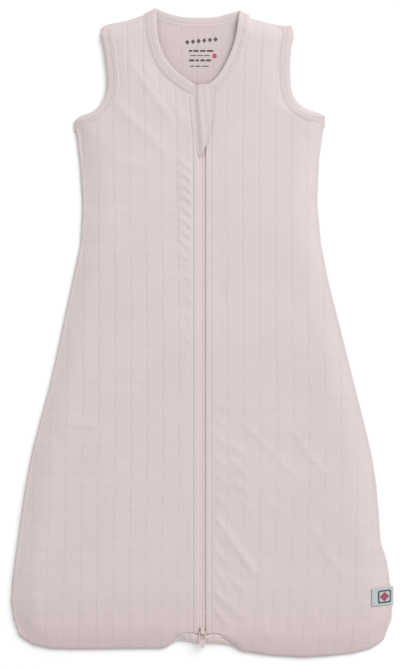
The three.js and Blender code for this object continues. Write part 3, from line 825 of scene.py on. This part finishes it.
def front(side, name):
    x, y, from_outer, from_inner = front_plan(side)
    z = front_surface(side, x, y, from_inner)
    from_foot = np.abs(y - foot_y(x))
    keep = thinned(THIN, (from_outer, SEAM_ROUND), (from_inner, PLACKET_ROUND), (from_foot, SEAM_ROUND))
    middle = z - CLOTH / 2
    seam_side = smooth(1.0 - from_outer / 3.0)
    centre = middle + (SEAM_LINE - middle) * seam_side * (1 - keep)
    over = centre + CLOTH / 2 * keep + (SEAM_ROUND - CLOTH / 2) * seam_side * keep
    top, bottom = places(x, y, over), places(x, y, centre - CLOTH / 2 * keep)
    lined = smooth((from_inner - 8.0) / 2.0) * (1.0 - 0.42 * smooth((y - FAINT_WEFT_Y) / 80.0))
    threads = places(*grain(side, x, y), lined)
    if side == RIGHT:
        top, bottom, threads = top[:, ::-1], bottom[:, ::-1], threads[:, ::-1]
    return closed_sheet(name, top, bottom, FRONT_COTTON[side], threads)


finish_folding(front(LEFT, "front_left_cloth"), "cotton", "front_left_side", "front_left_lapel")
finish_piece(front(RIGHT, "front_right_cloth"), "bag", "cotton", "front_right")

# ---------------------------------------------------------------- the back

BACK_FAINT_WEFT_Y = 200.0  # above this the back's level lines grow faint
BACK_ROWS = 230
BACK_COLUMNS = 130


def back():
    left, right = (resample(side_edge(side), BACK_ROWS) for side in (LEFT, RIGHT))
    width = np.linalg.norm(right - left, axis=1)
    near = np.array([0.0, *FINE_EDGE])
    columns = np.stack(
        [np.concatenate([near, np.linspace(3.0, w - 3.0, BACK_COLUMNS), (w - near)[::-1]]) / w for w in width]
    )
    x, y = sheet_plan(left, right, columns, hem_y, top_edge)
    edge = np.minimum(columns, 1.0 - columns) * width[:, None]
    above_hem = y - hem_y(x)
    keep = thinned(THIN, (edge, SEAM_ROUND), (above_hem, SEAM_ROUND))
    under = back_under(x, y) + back_belly(x, y)
    across, up = grain(BACK, x, y)
    relief = 0.1 * ripples(x, y, 80.0, SEED + 2) + pillow(across, up) * 0.4
    relief = relief * smooth(edge / 10.0) * smooth(above_hem / 10.0)
    flat = under + CLOTH / 2
    middle = flat + (1 - keep) * (SEAM_LINE - flat) * smooth(1.0 - edge / 3.0)
    top = places(x, y, middle + CLOTH / 2 * keep + np.clip(relief, -0.3, 0.12))
    bottom = places(x, y, np.maximum(middle - CLOTH / 2 * keep - relief * 0.5, 0.02))
    threads = places(across, up, 1.0 - 0.45 * smooth((y - BACK_FAINT_WEFT_Y) / 30.0))
    return closed_sheet("back_cloth", top, bottom, BACK_COTTON_SHADED, threads)


finish_piece(back(), "bag", "cotton", "back_panel")

# ---------------------------------------------------------------- bindings


def inward_normals(path, turn, start, end):
    """Level directions across a binding: square to its edge, but along the seams at its two ends."""
    tangent = np.gradient(path, axis=0)
    tangent /= np.linalg.norm(tangent, axis=1)[:, None]
    normal = np.stack([tangent[:, 1] * turn, -tangent[:, 0] * turn], axis=1)
    share = along(path) / along(path)[-1]
    for away, weight in ((start, 1 - smooth(share / 0.16)), (end, 1 - smooth((1 - share) / 0.16))):
        away = np.array(away) / np.linalg.norm(away)
        normal = normal + (away - normal) * weight[:, None]
    return normal / np.linalg.norm(normal, axis=1)[:, None]


def band_section():
    """Half of a binding's cross-section: how far in from its outer edge, and how high above its middle."""
    half = BAND_THICK / 2
    turn = np.linspace(math.pi, math.pi / 2, 6)
    fold = [(half * 0.9 + half * 0.9 * math.cos(t) - 0.5, half * math.sin(t)) for t in turn]
    flat = [(d, half - 0.02) for d in np.arange(1.4, BAND_WIDTH - 1.9, 0.5)]
    taper = ((1.7, 0.1), (1.1, 0.26), (0.5, 0.5), (0.0, 0.8))
    last = [(BAND_WIDTH - from_edge, half - thinner) for from_edge, thinner in taper]
    return np.array(fold + flat + last)


STITCH_ROWS = (BAND_WIDTH - 2.4, BAND_WIDTH - 5.0)  # in from the binding's outer edge


def band(path, normal, middle, seed):
    """A folded strip of cotton along an edge. middle gives the height of the cloth it encloses."""
    section = band_section()
    length = along(path)
    inward, height = section[:, 0], section[:, 1]
    crown = 0.16 * bump((inward - 2.2) / 2.6)
    grooves = sum(0.2 * bell((inward - row) / 0.45) for row in STITCH_ROWS)
    place = path[:, None, :] + normal[:, None, :] * inward[None, :, None]
    enclosed = path[:, None, :] + normal[:, None, :] * np.maximum(inward, 0.4)[None, :, None]
    base = middle(enclosed[..., X], enclosed[..., Y])
    run = np.broadcast_to(length[:, None], base.shape)
    uneven = 0.1 * ripples(run + inward * 0.7, inward * 1.5 + 0 * run, 8.5, seed)
    top = base + height + (crown - grooves) * (height > 0.5) + uneven * smooth(inward / 2.0)
    under = base - height - uneven * 0.3
    upper = np.concatenate([place, top[..., None]], axis=-1)
    lower = np.concatenate([place, under[..., None]], axis=-1)[:, ::-1]
    loop = np.concatenate([upper, lower[:, :-1]], axis=1)
    rows, columns = loop.shape[:2]
    distance = np.concatenate([inward, inward[::-1][:-1] + 20.0])
    threads = np.zeros((rows, columns, 3))
    threads[..., 0] = length[:, None]
    threads[..., 1] = distance
    return loop.reshape(-1, 3), tube_faces(rows, columns), threads.reshape(-1, 3)


def joined_bands(name, bands):
    points, faces, threads = [], [], []
    for band_points, band_faces, band_threads in bands:
        faces += [[i + len(points) for i in face] for face in band_faces]
        points += [*band_points]
        threads += [*band_threads]
    return add_closed(name, points, faces, BAND_COTTON, threads)


STITCH_RADIUS = 0.24
STITCH_PROFILE = (  # the place along a stitch, its radius and its rise, as shares of the two sizes
    (-0.5, 0.25, -0.75), (-0.36, 0.85, -0.05), (0.0, 1.0, 0.3), (0.36, 0.85, -0.05), (0.5, 0.25, -0.75),
)
STITCH_RING = 6


def stitches(name, lines):
    """Sewing: short threads that rise out of the cloth and dive back in, along each line of points."""
    turn = np.linspace(0, 2 * np.pi, STITCH_RING, endpoint=False)
    unit = [(t, w * math.cos(a), w * math.sin(a) + up) for t, w, up in STITCH_PROFILE for a in turn]
    unit = np.array(unit) * (STITCH, STITCH_RADIUS, STITCH_RADIUS)
    one = tube_faces(len(STITCH_PROFILE), STITCH_RING)
    points, faces = [], []
    for line in lines:
        lengths = along(line)
        for start in np.arange(0.4, lengths[-1] - STITCH, STITCH_PITCH):
            ends = (start, start + STITCH)
            a, b = np.stack([np.interp(ends, lengths, line[:, k]) for k in range(3)], axis=1)
            ahead = (b - a) / np.linalg.norm(b - a)
            level = np.cross((0, 0, 1), ahead)
            level /= np.linalg.norm(level)
            faces += [[i + len(points) * len(unit) for i in face] for face in one]
            points.append((a + b) / 2 + unit @ np.array([ahead, level, np.cross(ahead, level)]))
    return add_closed(name, np.concatenate(points), faces, THREAD)


def front_middle(side):
    return lambda x, y: front_top(side, x, y) - CLOTH / 2


def back_middle(x, y):
    return np.maximum(back_under(x, y), BACK_EDGE) + BAND_THICK / 2 - BACK_EDGE + 0.35 + 0 * x


def band_stitch_lines(path, normal, middle, way=1):
    lines = []
    for row in STITCH_ROWS:
        level = path + normal * row
        z = middle(level[:, 0], level[:, 1]) + way * (BAND_THICK / 2 - 0.16)
        lines.append(np.concatenate([level, z[:, None]], axis=1)[1:-1])
    return lines


BULGE = 0.5  # how far a binding's rounded edge stands out from the cloth's


def armhole_path(side):
    rows = np.arange(UNDERARM[side][Y], TIP[side][Y], 0.5)
    edge = [UNDERARM[side][:2], *zip(outer_x[side](rows[2:]), rows[2:]), TIP[side][:2]]
    path = soften(resample(edge, 90), 3)
    path[:, 0] -= side * BULGE * smooth(along(path) / 12.0)
    return path


def armhole_binding(side, name, node):
    path = armhole_path(side)
    normal = inward_normals(path, -side, (0, -1), (-side, -0.12))
    front_side, back_side = (path, normal, front_middle(side)), (path, normal, back_middle)
    bands = [band(*front_side, 21 + side), band(*back_side, 31 + side)]
    finish_piece(joined_bands(name, bands), "bag", "cotton", node)
    lines = band_stitch_lines(*front_side) + band_stitch_lines(*back_side, -1)
    finish_piece(stitches(name + "_stitches", lines), "bag", "cotton")


for side, node in ARMHOLE_NODE.items():
    armhole_binding(side, node + "_cloth", node)


def neck_front(side):
    path = resample(neckline[side], 80)
    normal = inward_normals(path, side, (0.06 * side, -1), (side, -0.5))
    return path, normal, front_middle(side)


def neck_back():
    xs = np.arange(NECK[LEFT][X], NECK[RIGHT][X], 1.0)
    path = resample([*zip(xs, top_y(xs)), tuple(NECK[RIGHT][:2])], 70)
    path[:, 1] -= BULGE
    return path, inward_normals(path, 1, (-0.75, -0.8), (0.75, -0.8)), back_middle


left_neck, right_neck, back_neck = neck_front(LEFT), neck_front(RIGHT), neck_back()
fixed_neck = [band(*right_neck, 41), band(*back_neck, 42)]
finish_piece(joined_bands("neck_binding_cloth", fixed_neck), "bag", "cotton", "neck_binding")
fixed_lines = band_stitch_lines(*right_neck) + band_stitch_lines(*back_neck)
finish_piece(stitches("neck_binding_stitches", fixed_lines), "bag", "cotton")
lapel_band = joined_bands("neck_binding_left_cloth", [band(*left_neck, 43)])
finish_folding(lapel_band, "cotton", "neck_binding_lapel")
finish_folding(stitches("neck_binding_left_stitches", band_stitch_lines(*left_neck)), "cotton")

# ---------------------------------------------------------------- topstitching beside the zip


def placket_line(side):
    rows = np.arange(foot_y(8.0 * side) + 2.0, NECK_LOW_Y - BAND_WIDTH - 0.5, 1.5)
    x = placket_x[side](np.minimum(rows, PLACKET_HIGH_Y)) + side * PLACKET_STITCH
    z = front_surface(side, x, rows, np.full_like(rows, PLACKET_STITCH)) + 0.08
    return np.stack([x, rows, z], axis=1)


finish_folding(stitches("placket_stitches_left", [placket_line(LEFT)]), "cotton")
finish_piece(stitches("placket_stitches_right", [placket_line(RIGHT)]), "bag", "cotton")

# ---------------------------------------------------------------- zip

TAPE_LOW, TAPE_HIGH = box_mm("zip_tape_right")
COIL_LOW, COIL_HIGH = box_mm("zip_coil_right")
TAPE_EDGE = 0.05  # each tape's edge, out from the centre line
TAPE_LIFT = {LEFT: 0.2, RIGHT: 0.6}  # how far each tape's face stands over the frame's
COIL_PITCH = 1.55
COIL_WIRE = 0.26  # the wire's radius
WIRE_RING = 5


def tape(side, name):
    """A tape: a folded edge at the centre line, then flat under the front."""
    folded = (TAPE_EDGE, 0.14, 0.3, 0.65, 1.0, 1.5, 2.1, 2.7, 3.4, 4.4)
    across = np.array([*folded, *np.arange(6.0, 12.1, 2.0), TAPE_HIGH[X]])
    rows = np.arange(TAPE_LOW[Y], TAPE_HIGH[Y] + 0.1, 3.0)
    spread, up = np.meshgrid(across, rows)
    middle = (TAPE_LOW[Z] + TAPE_HIGH[Z]) / 2
    half = (TAPE_HIGH[Z] - TAPE_LOW[Z]) / 2
    rounded = edge_round(spread - TAPE_EDGE + 0.02, 0.35)
    top = middle + half * rounded + 0.04 * bump(spread - 1.0) + TAPE_LIFT[side] + 0.03 * np.sin(up / 4.1)
    bottom = middle - half * rounded - 0.02
    upper, lower = places(side * spread, up, top), places(side * spread, up, bottom)
    if side < 0:
        upper, lower = upper[:, ::-1], lower[:, ::-1]
    return closed_sheet(name, upper, lower, TAPE_LIGHTENED, np.zeros(upper.shape))


def coil(side, name):
    """The nylon coil under a tape's edge: one wire wound round and round."""
    turns = (COIL_HIGH[Y] - COIL_LOW[Y]) / COIL_PITCH
    steps = int(turns * 8)
    angle = np.linspace(0, 2 * np.pi * turns, steps)
    centre, half = (COIL_LOW + COIL_HIGH) / 2, (COIL_HIGH - COIL_LOW) / 2 - COIL_WIRE
    out = np.stack([side * np.cos(angle), np.zeros(steps), np.sin(angle)], axis=1)
    path = out * half + (side * centre[X], 0.0, centre[Z])
    path[:, Y] = np.linspace(COIL_LOW[Y], COIL_HIGH[Y], steps)
    tangent = np.gradient(path, axis=0)
    tangent /= np.linalg.norm(tangent, axis=1)[:, None]
    out -= tangent * (out * tangent).sum(axis=1)[:, None]
    out /= np.linalg.norm(out, axis=1)[:, None]
    other = np.cross(tangent, out)
    turn = np.linspace(0, 2 * np.pi, WIRE_RING, endpoint=False)
    points = np.stack([path + COIL_WIRE * (math.cos(t) * out + math.sin(t) * other) for t in turn], axis=1)
    return add_closed(name, points.reshape(-1, 3), tube_faces(steps, WIRE_RING), NYLON)


finish_piece(tape(RIGHT, "zip_tape_right_weave"), "bag", "zip_tape", "zip_tape_right")
finish_piece(coil(RIGHT, "zip_coil_right_wire"), "bag", "zip_coil", "zip_coil_right")
left_tape, left_coil = tape(LEFT, "zip_tape_left_weave"), coil(LEFT, "zip_coil_left_wire")
finish_folding(left_tape, "zip_tape", "zip_tape_left", "zip_tape_left_foot")
finish_folding(left_coil, "zip_coil", "zip_coil_left", "zip_coil_left_foot")

SLOT_OF = {part["node"]: part["material_slot"] for part in frame["record"]["subparts"]}


def softened(node, name, material, radius, segments=3):
    """A moulded or cast part: the frame's shape with its edges rounded off."""
    source = frame["nodes"][node]
    shape = bmesh.new()
    shape.from_mesh(source.data)
    bmesh.ops.remove_doubles(shape, verts=shape.verts, dist=0.02 * MM)
    bmesh.ops.dissolve_limit(shape, angle_limit=math.radians(2), verts=shape.verts, edges=shape.edges)
    sharp = [e for e in shape.edges if len(e.link_faces) == 2 and e.calc_face_angle(0) > math.radians(35)]
    bevel = {"segments": segments, "profile": 0.5, "affect": "EDGES", "clamp_overlap": True}
    bmesh.ops.bevel(shape, geom=sharp, offset=radius * MM, **bevel)
    bmesh.ops.triangulate(shape, faces=[f for f in shape.faces if len(f.verts) > 4])
    mesh = bpy.data.meshes.new(name)
    shape.to_mesh(mesh)
    shape.free()
    return finish_piece(add_piece(name, mesh, material), source["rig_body"], SLOT_OF[node], node)


softened("slider_body", "slider_body_cast", PAINT, 0.16)
softened("slider_cap", "slider_cap_cast", PAINT, 0.22)
softened("pull_tab", "pull_tab_cast", PAINT, 0.24)
softened("slider_lock_spring", "slider_lock_spring_leaf", STEEL, 0.05, 2)
for node in ("zip_stop_left", "zip_stop_right", "zip_retainer_box", "zip_insertion_pin"):
    softened(node, node + "_moulded", NYLON, 0.22)

# ---------------------------------------------------------------- facing at the foot of the zip

FACING_OVERRUN = 4.0  # how far the facing runs on under the fronts at each end
FACING_STITCH = 0.62  # its row of stitching, as a share of the way up from the hem
FACING_DROP = 0.55  # how far its face lies below the fronts'
FACING_GATHERS = 5.6  # the pitch of its gathers
FACING_ROWS, FACING_COLUMNS = 22, 110
BARE_ZIP = 5.0  # how far out from the centre line the fronts leave the zip's foot bare


def zip_end_facing():
    """The turned-in strip that closes the foot of the zip. Its ends and upper edge tuck under the fronts."""
    across = np.linspace(FACING_LOW[X] - FACING_OVERRUN, FACING_HIGH[X] + FACING_OVERRUN, FACING_COLUMNS)
    shares = np.linspace(0.0, 1.0, FACING_ROWS)
    up, x = np.meshgrid(shares, across, indexing="ij")
    clear_of_zip = smooth((np.abs(x) - BARE_ZIP) / 4.0)
    upper = np.maximum(foot_y(x) + 1.6 * clear_of_zip - 0.3, hem_y(x) + 1.2)
    y = hem_y(x) + 0.3 + (upper - hem_y(x) - 0.3) * up
    under_front = smooth((y - foot_y(x) + 0.5) / 1.3) * clear_of_zip
    z = front_top(RIGHT, x, y) - FACING_DROP - 0.6 * under_front
    gathers = 0.22 * np.sin(x * 2 * np.pi / FACING_GATHERS + 1.1 * np.sin(x / 3.7))
    gathers = gathers + 0.2 * ripples(x, y, 16.0, 61)
    open_part = bump((up - 0.45) / 0.55)
    z = z + gathers * open_part - 0.35 * bell((up - FACING_STITCH) / 0.08) * clear_of_zip
    keep = thinned(0.12, ((1 - up) * 8.0, 1.0), (up * 8.0 + 0.2, 0.9))
    top = places(x, y, z - CLOTH / 2 + CLOTH / 2 * keep)
    bottom = places(x, y, z - CLOTH / 2 - CLOTH / 2 * keep)
    threads = places(x, y, np.zeros_like(x))
    made = closed_sheet("zip_end_facing_cloth", top, bottom, FACING_COTTON, threads)
    row = np.argmin(np.abs(shares - FACING_STITCH))
    shown = (np.abs(across) > BARE_ZIP + 1.0) & (foot_y(across) - y[row] > 1.0)
    line = places(x[row], y[row], top[row, :, Z] + 0.06)
    return made, [line[shown & (across < 0)], line[shown & (across > 0)]]


facing, facing_lines = zip_end_facing()
finish_piece(facing, "bag", "cotton", "zip_end_patch")
finish_piece(stitches("zip_end_facing_stitches", facing_lines), "bag", "cotton")

# ---------------------------------------------------------------- chin guard

GUARD_SEAM = 1.5  # how far the guard's sewn edge reaches over the left placket
GUARD_BEND = (-0.6, 2.4)  # the strip that bends as the guard lifts, across from its hinge
GUARD_SLANT = 2.6  # how far its upper end drops towards the sewn edge
GUARD_ROWS, GUARD_COLUMNS = 110, 40


def chin_guard():
    """The leaf of cloth over the top of the zip: sewn along its left edge, crisp and free along its right."""
    edges = cad_edges("chin_guard")
    low, high = box_mm("chin_guard")
    left_x = silhouette(edges, Y, -1, low[Y] + 0.3, high[Y] - 2.8, 0.5)
    right_x = silhouette(edges, Y, 1, low[Y] + 0.3, high[Y] - 0.3, 0.5)
    share = np.linspace(0.0, 1.0, GUARD_COLUMNS)
    rows_y = np.linspace(low[Y] + 0.4, high[Y] - 0.4, GUARD_ROWS)[:, None]
    seam = GUARD_SEAM * smooth((rows_y - low[Y]) / 8.0)
    left, right = left_x(rows_y) - seam, right_x(rows_y)
    x = left + (right - left) * (0.5 - 0.5 * np.cos(np.pi * share))
    y = rows_y - GUARD_SLANT * smooth((rows_y - high[Y] + 6.0) / 6.0) * (1 - share) + 0 * x
    from_edge = np.minimum(x - left, right - x)
    from_end = np.minimum(rows_y - low[Y], high[Y] - 0.4 - rows_y + 0.3) + 0 * x
    keep = thinned(0.15, (from_edge, 0.6), (from_end, 0.8))
    lie = smooth((x - left - 0.3) / (seam + 3.4))
    half = (high[Z] - low[Z]) / 2 * (0.5 + 0.5 * lie)
    resting = np.maximum(front_top(LEFT, x, y), FRONT_TOP - 0.3) + 0.15 + half
    middle = resting + ((low[Z] + high[Z]) / 2 - resting) * lie
    crease = 0.2 * np.sin((x - left) * 0.8 + y * 0.05) * bump((share - 0.55) / 0.45)
    lift = 0.22 * bump((x - right) / 3.0) + 0.3 * bump((rows_y - high[Y]) / 8.0) * lie
    groove = -0.3 * bell((x - left - 1.3) / 0.45) * smooth((right - left - 4.0) / 4.0)
    z = middle + crease + lift + groove
    top, bottom = places(x, y, z + half * keep), places(x, y, z - half * keep)
    return closed_sheet("chin_guard_cloth", top, bottom, BAND_COTTON, places(x, y, np.zeros_like(x)))


finish_bending(chin_guard(), ("left_lapel", "guard"), "chin_guard_lift", GUARD_BEND, "cotton", "chin_guard")

# ---------------------------------------------------------------- labels and print


def rounded_bar(x0, x1, y0, y1, radius, cells=5):
    """Outline of a bar with rounded corners."""
    r = min(radius, (x1 - x0) / 2, (y1 - y0) / 2)
    corners = ((x1 - r, y0 + r, -90), (x1 - r, y1 - r, 0), (x0 + r, y1 - r, 90), (x0 + r, y0 + r, 180))
    turns = np.linspace(0, 90, cells)
    return [
        (cx + r * math.cos(math.radians(first + t)), cy + r * math.sin(math.radians(first + t)))
        for cx, cy, first in corners
        for t in turns
    ]


LABEL_LOW, LABEL_HIGH = box_mm("side_label")
LABEL_THICK = 0.4
LABEL_TILT = 0.075  # it was sewn in a little askew


def label_path():
    """The label's centre line seen along the bag: over the front, round the seam and just under the back."""
    y = (LABEL_LOW[Y] + LABEL_HIGH[Y]) / 2
    edge = LABEL_HIGH[X] - LABEL_THICK
    xs = np.linspace(LABEL_LOW[X], edge - 1.2, 26)
    over = [(x, float(front_top(RIGHT, np.array(x), np.array(y))) + 0.75) for x in xs]
    turn = ((0.3, SEAM_TOP + 0.5), (0.0, 2.4), (0.0, 1.6), (0.2, 0.8), (1.2, 0.3), (4.0, 0.22))
    return resample(soften(resample(over + [(edge - inward, z) for inward, z in turn], 60), 3), 46)


def ribbon(name, path, y0, y1, thick, material, cells=28, tilt=0.0):
    """A strip of ribbon whose path is drawn in x and z, from y0 to y1."""
    tangent = np.gradient(path, axis=0)
    tangent /= np.linalg.norm(tangent, axis=1)[:, None]
    normal = np.stack([-tangent[:, 1], tangent[:, 0]], axis=1)
    ys = np.linspace(y0, y1, cells)
    sag = 0.06 * np.sin(ys / 2.3)
    level = ys[:, None] + tilt * (path[:, 0] - path[0, 0])
    faces = [path + normal * out for out in (thick / 2, -thick / 2)]
    flat = np.zeros_like(level)
    top, bottom = (places(flat + face[:, 0], level, face[:, 1] + sag[:, None]) for face in faces)
    return closed_sheet(name, top, bottom, material, np.zeros(top.shape))


path = label_path()
label_top = LABEL_HIGH[Y] - LABEL_TILT * (LABEL_HIGH[X] - LABEL_LOW[X])
label_centre_y = (LABEL_LOW[Y] + label_top) / 2
label = ribbon("side_label_ribbon", path, LABEL_LOW[Y], label_top, LABEL_THICK, MINT, tilt=LABEL_TILT)
finish_piece(label, "bag", "label_mint", "side_label")
MOTIF = [  # woven marks, one over the other: half width, half height, corner radius, lift and thread
    (6.7, 6.2, 1.6, 0.1, SLATE), (5.2, 4.7, 1.0, 0.16, MINT), (4.9, 4.5, None, 0.22, ROSE),
]
MOTIF_CENTRE = 12.6  # from the label's inner end, along the ribbon


def woven_mark(name, half_wide, half_high, radius, lift, material):
    """A patch of coloured thread that follows the ribbon: a rounded square, or with no radius a diamond."""
    outline = np.array([(half_wide, 0.0), (0.0, half_high), (-half_wide, 0.0), (0.0, -half_high)])
    if radius:
        outline = rounded_bar(-half_wide, half_wide, -half_high, half_high, radius, 7)
    outline = resample([*outline, outline[0]], 57)[:-1]
    rings = [outline * share for share in np.linspace(1.0, 0.1, 9)]
    plan = np.concatenate(rings)
    lengths = along(path)
    at = np.clip(plan[:, 0] + MOTIF_CENTRE, 0.3, lengths[-1])
    x, z = np.interp(at, lengths, path[:, 0]), np.interp(at, lengths, path[:, 1])
    slope = np.stack([np.interp(at, lengths, np.gradient(path[:, k], lengths)) for k in (0, 1)], axis=1)
    y = label_centre_y + LABEL_TILT * (x - LABEL_LOW[X]) + plan[:, 1]
    out = LABEL_THICK / 2 + lift
    upper = np.stack([x - slope[:, 1] * out, y, z + slope[:, 0] * out], axis=1)
    lower = np.stack([x, y, z], axis=1)
    ring = len(outline)
    faces = tube_faces(len(rings), ring)
    del faces[-2]  # the outline stays open, for the rim to join
    under = [[i + len(plan) for i in face[::-1]] for face in faces]
    rim = [[i, i + len(plan), (i + 1) % ring + len(plan), (i + 1) % ring] for i in range(ring)]
    return add_closed(name, np.concatenate([upper, lower]), faces + under + rim, material)


for index, mark in enumerate(MOTIF):
    finish_piece(woven_mark(f"side_label_motif_{index}", *mark), "bag", "label_mint")

CARE_LOW, CARE_HIGH = box_mm("care_label")


def care_label():
    xs = np.linspace(CARE_LOW[X], CARE_HIGH[X], 24)
    curl = 0.25 * rise((xs - CARE_LOW[X]) / 20.0) ** 2
    line = np.stack([xs, (CARE_LOW[Z] + CARE_HIGH[Z]) / 2 + curl], axis=1)
    return ribbon("care_label_ribbon", line, CARE_LOW[Y], CARE_HIGH[Y], 0.3, WHITE, 30)


finish_piece(care_label(), "bag", "label_white", "care_label")

PRINT_LIFT = 0.14  # above the cloth, clear of its weave
PRINT_THICK = 0.06


def print_marks(name, outlines, material):
    points, faces = [], []
    for outline in outlines:
        x, y = np.transpose(outline)
        n, first = len(outline), len(points)
        height = BACK_TOP + back_under(x, y) + back_belly(x, y) + PRINT_LIFT
        points += [*zip(x, y, height), *zip(x, y, height + PRINT_THICK)]
        faces += [[first + i for i in range(n)][::-1], [first + n + i for i in range(n)]]
        faces += [[first + i, first + (i + 1) % n, first + n + (i + 1) % n, first + n + i] for i in range(n)]
    made = add_closed(name, points, faces, material)
    made.data.polygons.foreach_set("use_smooth", np.zeros(len(made.data.polygons), bool))
    return made


# Printed marks that stand in for words: rows of short rounded bars. Each row is its bottom, its top, and the
# left and right of each bar.
PRINT_ROWS = (
    (268.4, 270.2, (-13.0, -9.6), (-8.8, -3.4), (-2.4, 3.2), (4.0, 10.6)),
    (264.4, 265.2, (-11.8, -5.6), (-4.6, 0.4), (1.4, 7.0)),
    (259.2, 261.2, (-12.8, -7.4), (-6.6, -3.2), (-2.0, 2.6), (3.4, 8.4)),
    (254.2, 255.1, (-11.6, -7.8), (-6.8, -1.4), (-0.4, 6.0)),
)
DIAMOND = (2.0, 2.5)  # half a diamond's width and height
DIAMOND_CENTRES = [(-14.4 + 5.4 * k, 277.6 + 0.55 * k) for k in range(6)]
DOT = (9.6, 13.6, 262.2, 266.6)  # left, right, bottom and top


def diamond(centre_x, centre_y):
    corners = ((1, 0), (0, 1), (-1, 0), (0, -1))
    return [(centre_x + DIAMOND[X] * dx, centre_y + DIAMOND[Y] * dy) for dx, dy in corners]


marks = [rounded_bar(*ends, low, high, 1.5) for low, high, *row in PRINT_ROWS for ends in row]
marks += [diamond(*centre) for centre in DIAMOND_CENTRES]
finish_piece(print_marks("neck_print_marks", marks, INK), "bag", "print_ink", "neck_print")
finish_piece(print_marks("neck_print_dot", [rounded_bar(*DOT, 1.6)], INK_ROSE), "bag", "print_ink")

# ---------------------------------------------------------------- floor, light and camera

FLOOR_DROP = 0.3
VIEW_LENS = 100.0
FILM = 36.0
FRAME_HEIGHT = 637.6  # of the picture at the bag's own height
FRAME_CENTRE = (-2.3, -1.7)
ROOM_LIGHT = 0.66
LAMP_AT = (1.35, 1.42, 2.05)  # in metres
LAMP_SIZE = 2.4  # in metres
LAMP_POWER = 60.0


def stage():
    bpy.ops.mesh.primitive_plane_add(size=6.0, location=(0, 0, -FLOOR_DROP * MM))
    floor = bpy.context.object
    floor.name = "floor"
    n = Nodes("floor_paper")
    speck = n.noise(n.position(), 300.0)
    n.set(Base_Color=n.mix(speck, (0.97, 0.97, 0.97, 1.0), (0.99, 0.99, 0.99, 1.0)), Roughness=0.9)
    n.set(Specular_IOR_Level=0.1)
    floor.data.materials.append(n.material)


def lights():
    """A pale room and one big soft lamp, up and to the right."""
    world = bpy.data.worlds.new("studio")
    bpy.context.scene.world = world
    world.use_nodes = True
    background = world.node_tree.nodes["Background"]
    background.inputs["Color"].default_value = (1.0, 1.0, 1.0, 1.0)
    background.inputs["Strength"].default_value = ROOM_LIGHT
    lamp = bpy.data.lights.new("key", "AREA")
    lamp.shape, lamp.size, lamp.energy = "DISK", LAMP_SIZE, LAMP_POWER
    made = bpy.data.objects.new("key", lamp)
    made.location = LAMP_AT
    made.rotation_euler = Vector(made.location).to_track_quat("Z", "Y").to_euler()
    bpy.context.scene.collection.objects.link(made)


def camera():
    lens = bpy.data.cameras.new("camera")
    lens.lens, lens.sensor_width = VIEW_LENS, FILM
    made = bpy.data.objects.new("camera", lens)
    bpy.context.scene.collection.objects.link(made)
    distance = FRAME_HEIGHT * VIEW_LENS / FILM + FRONT_TOP
    made.location = (FRAME_CENTRE[0] * MM, FRAME_CENTRE[1] * MM, distance * MM)
    bpy.context.scene.camera = made


stage()
lights()
camera()
bpy.context.scene.view_settings.view_transform = "Standard"
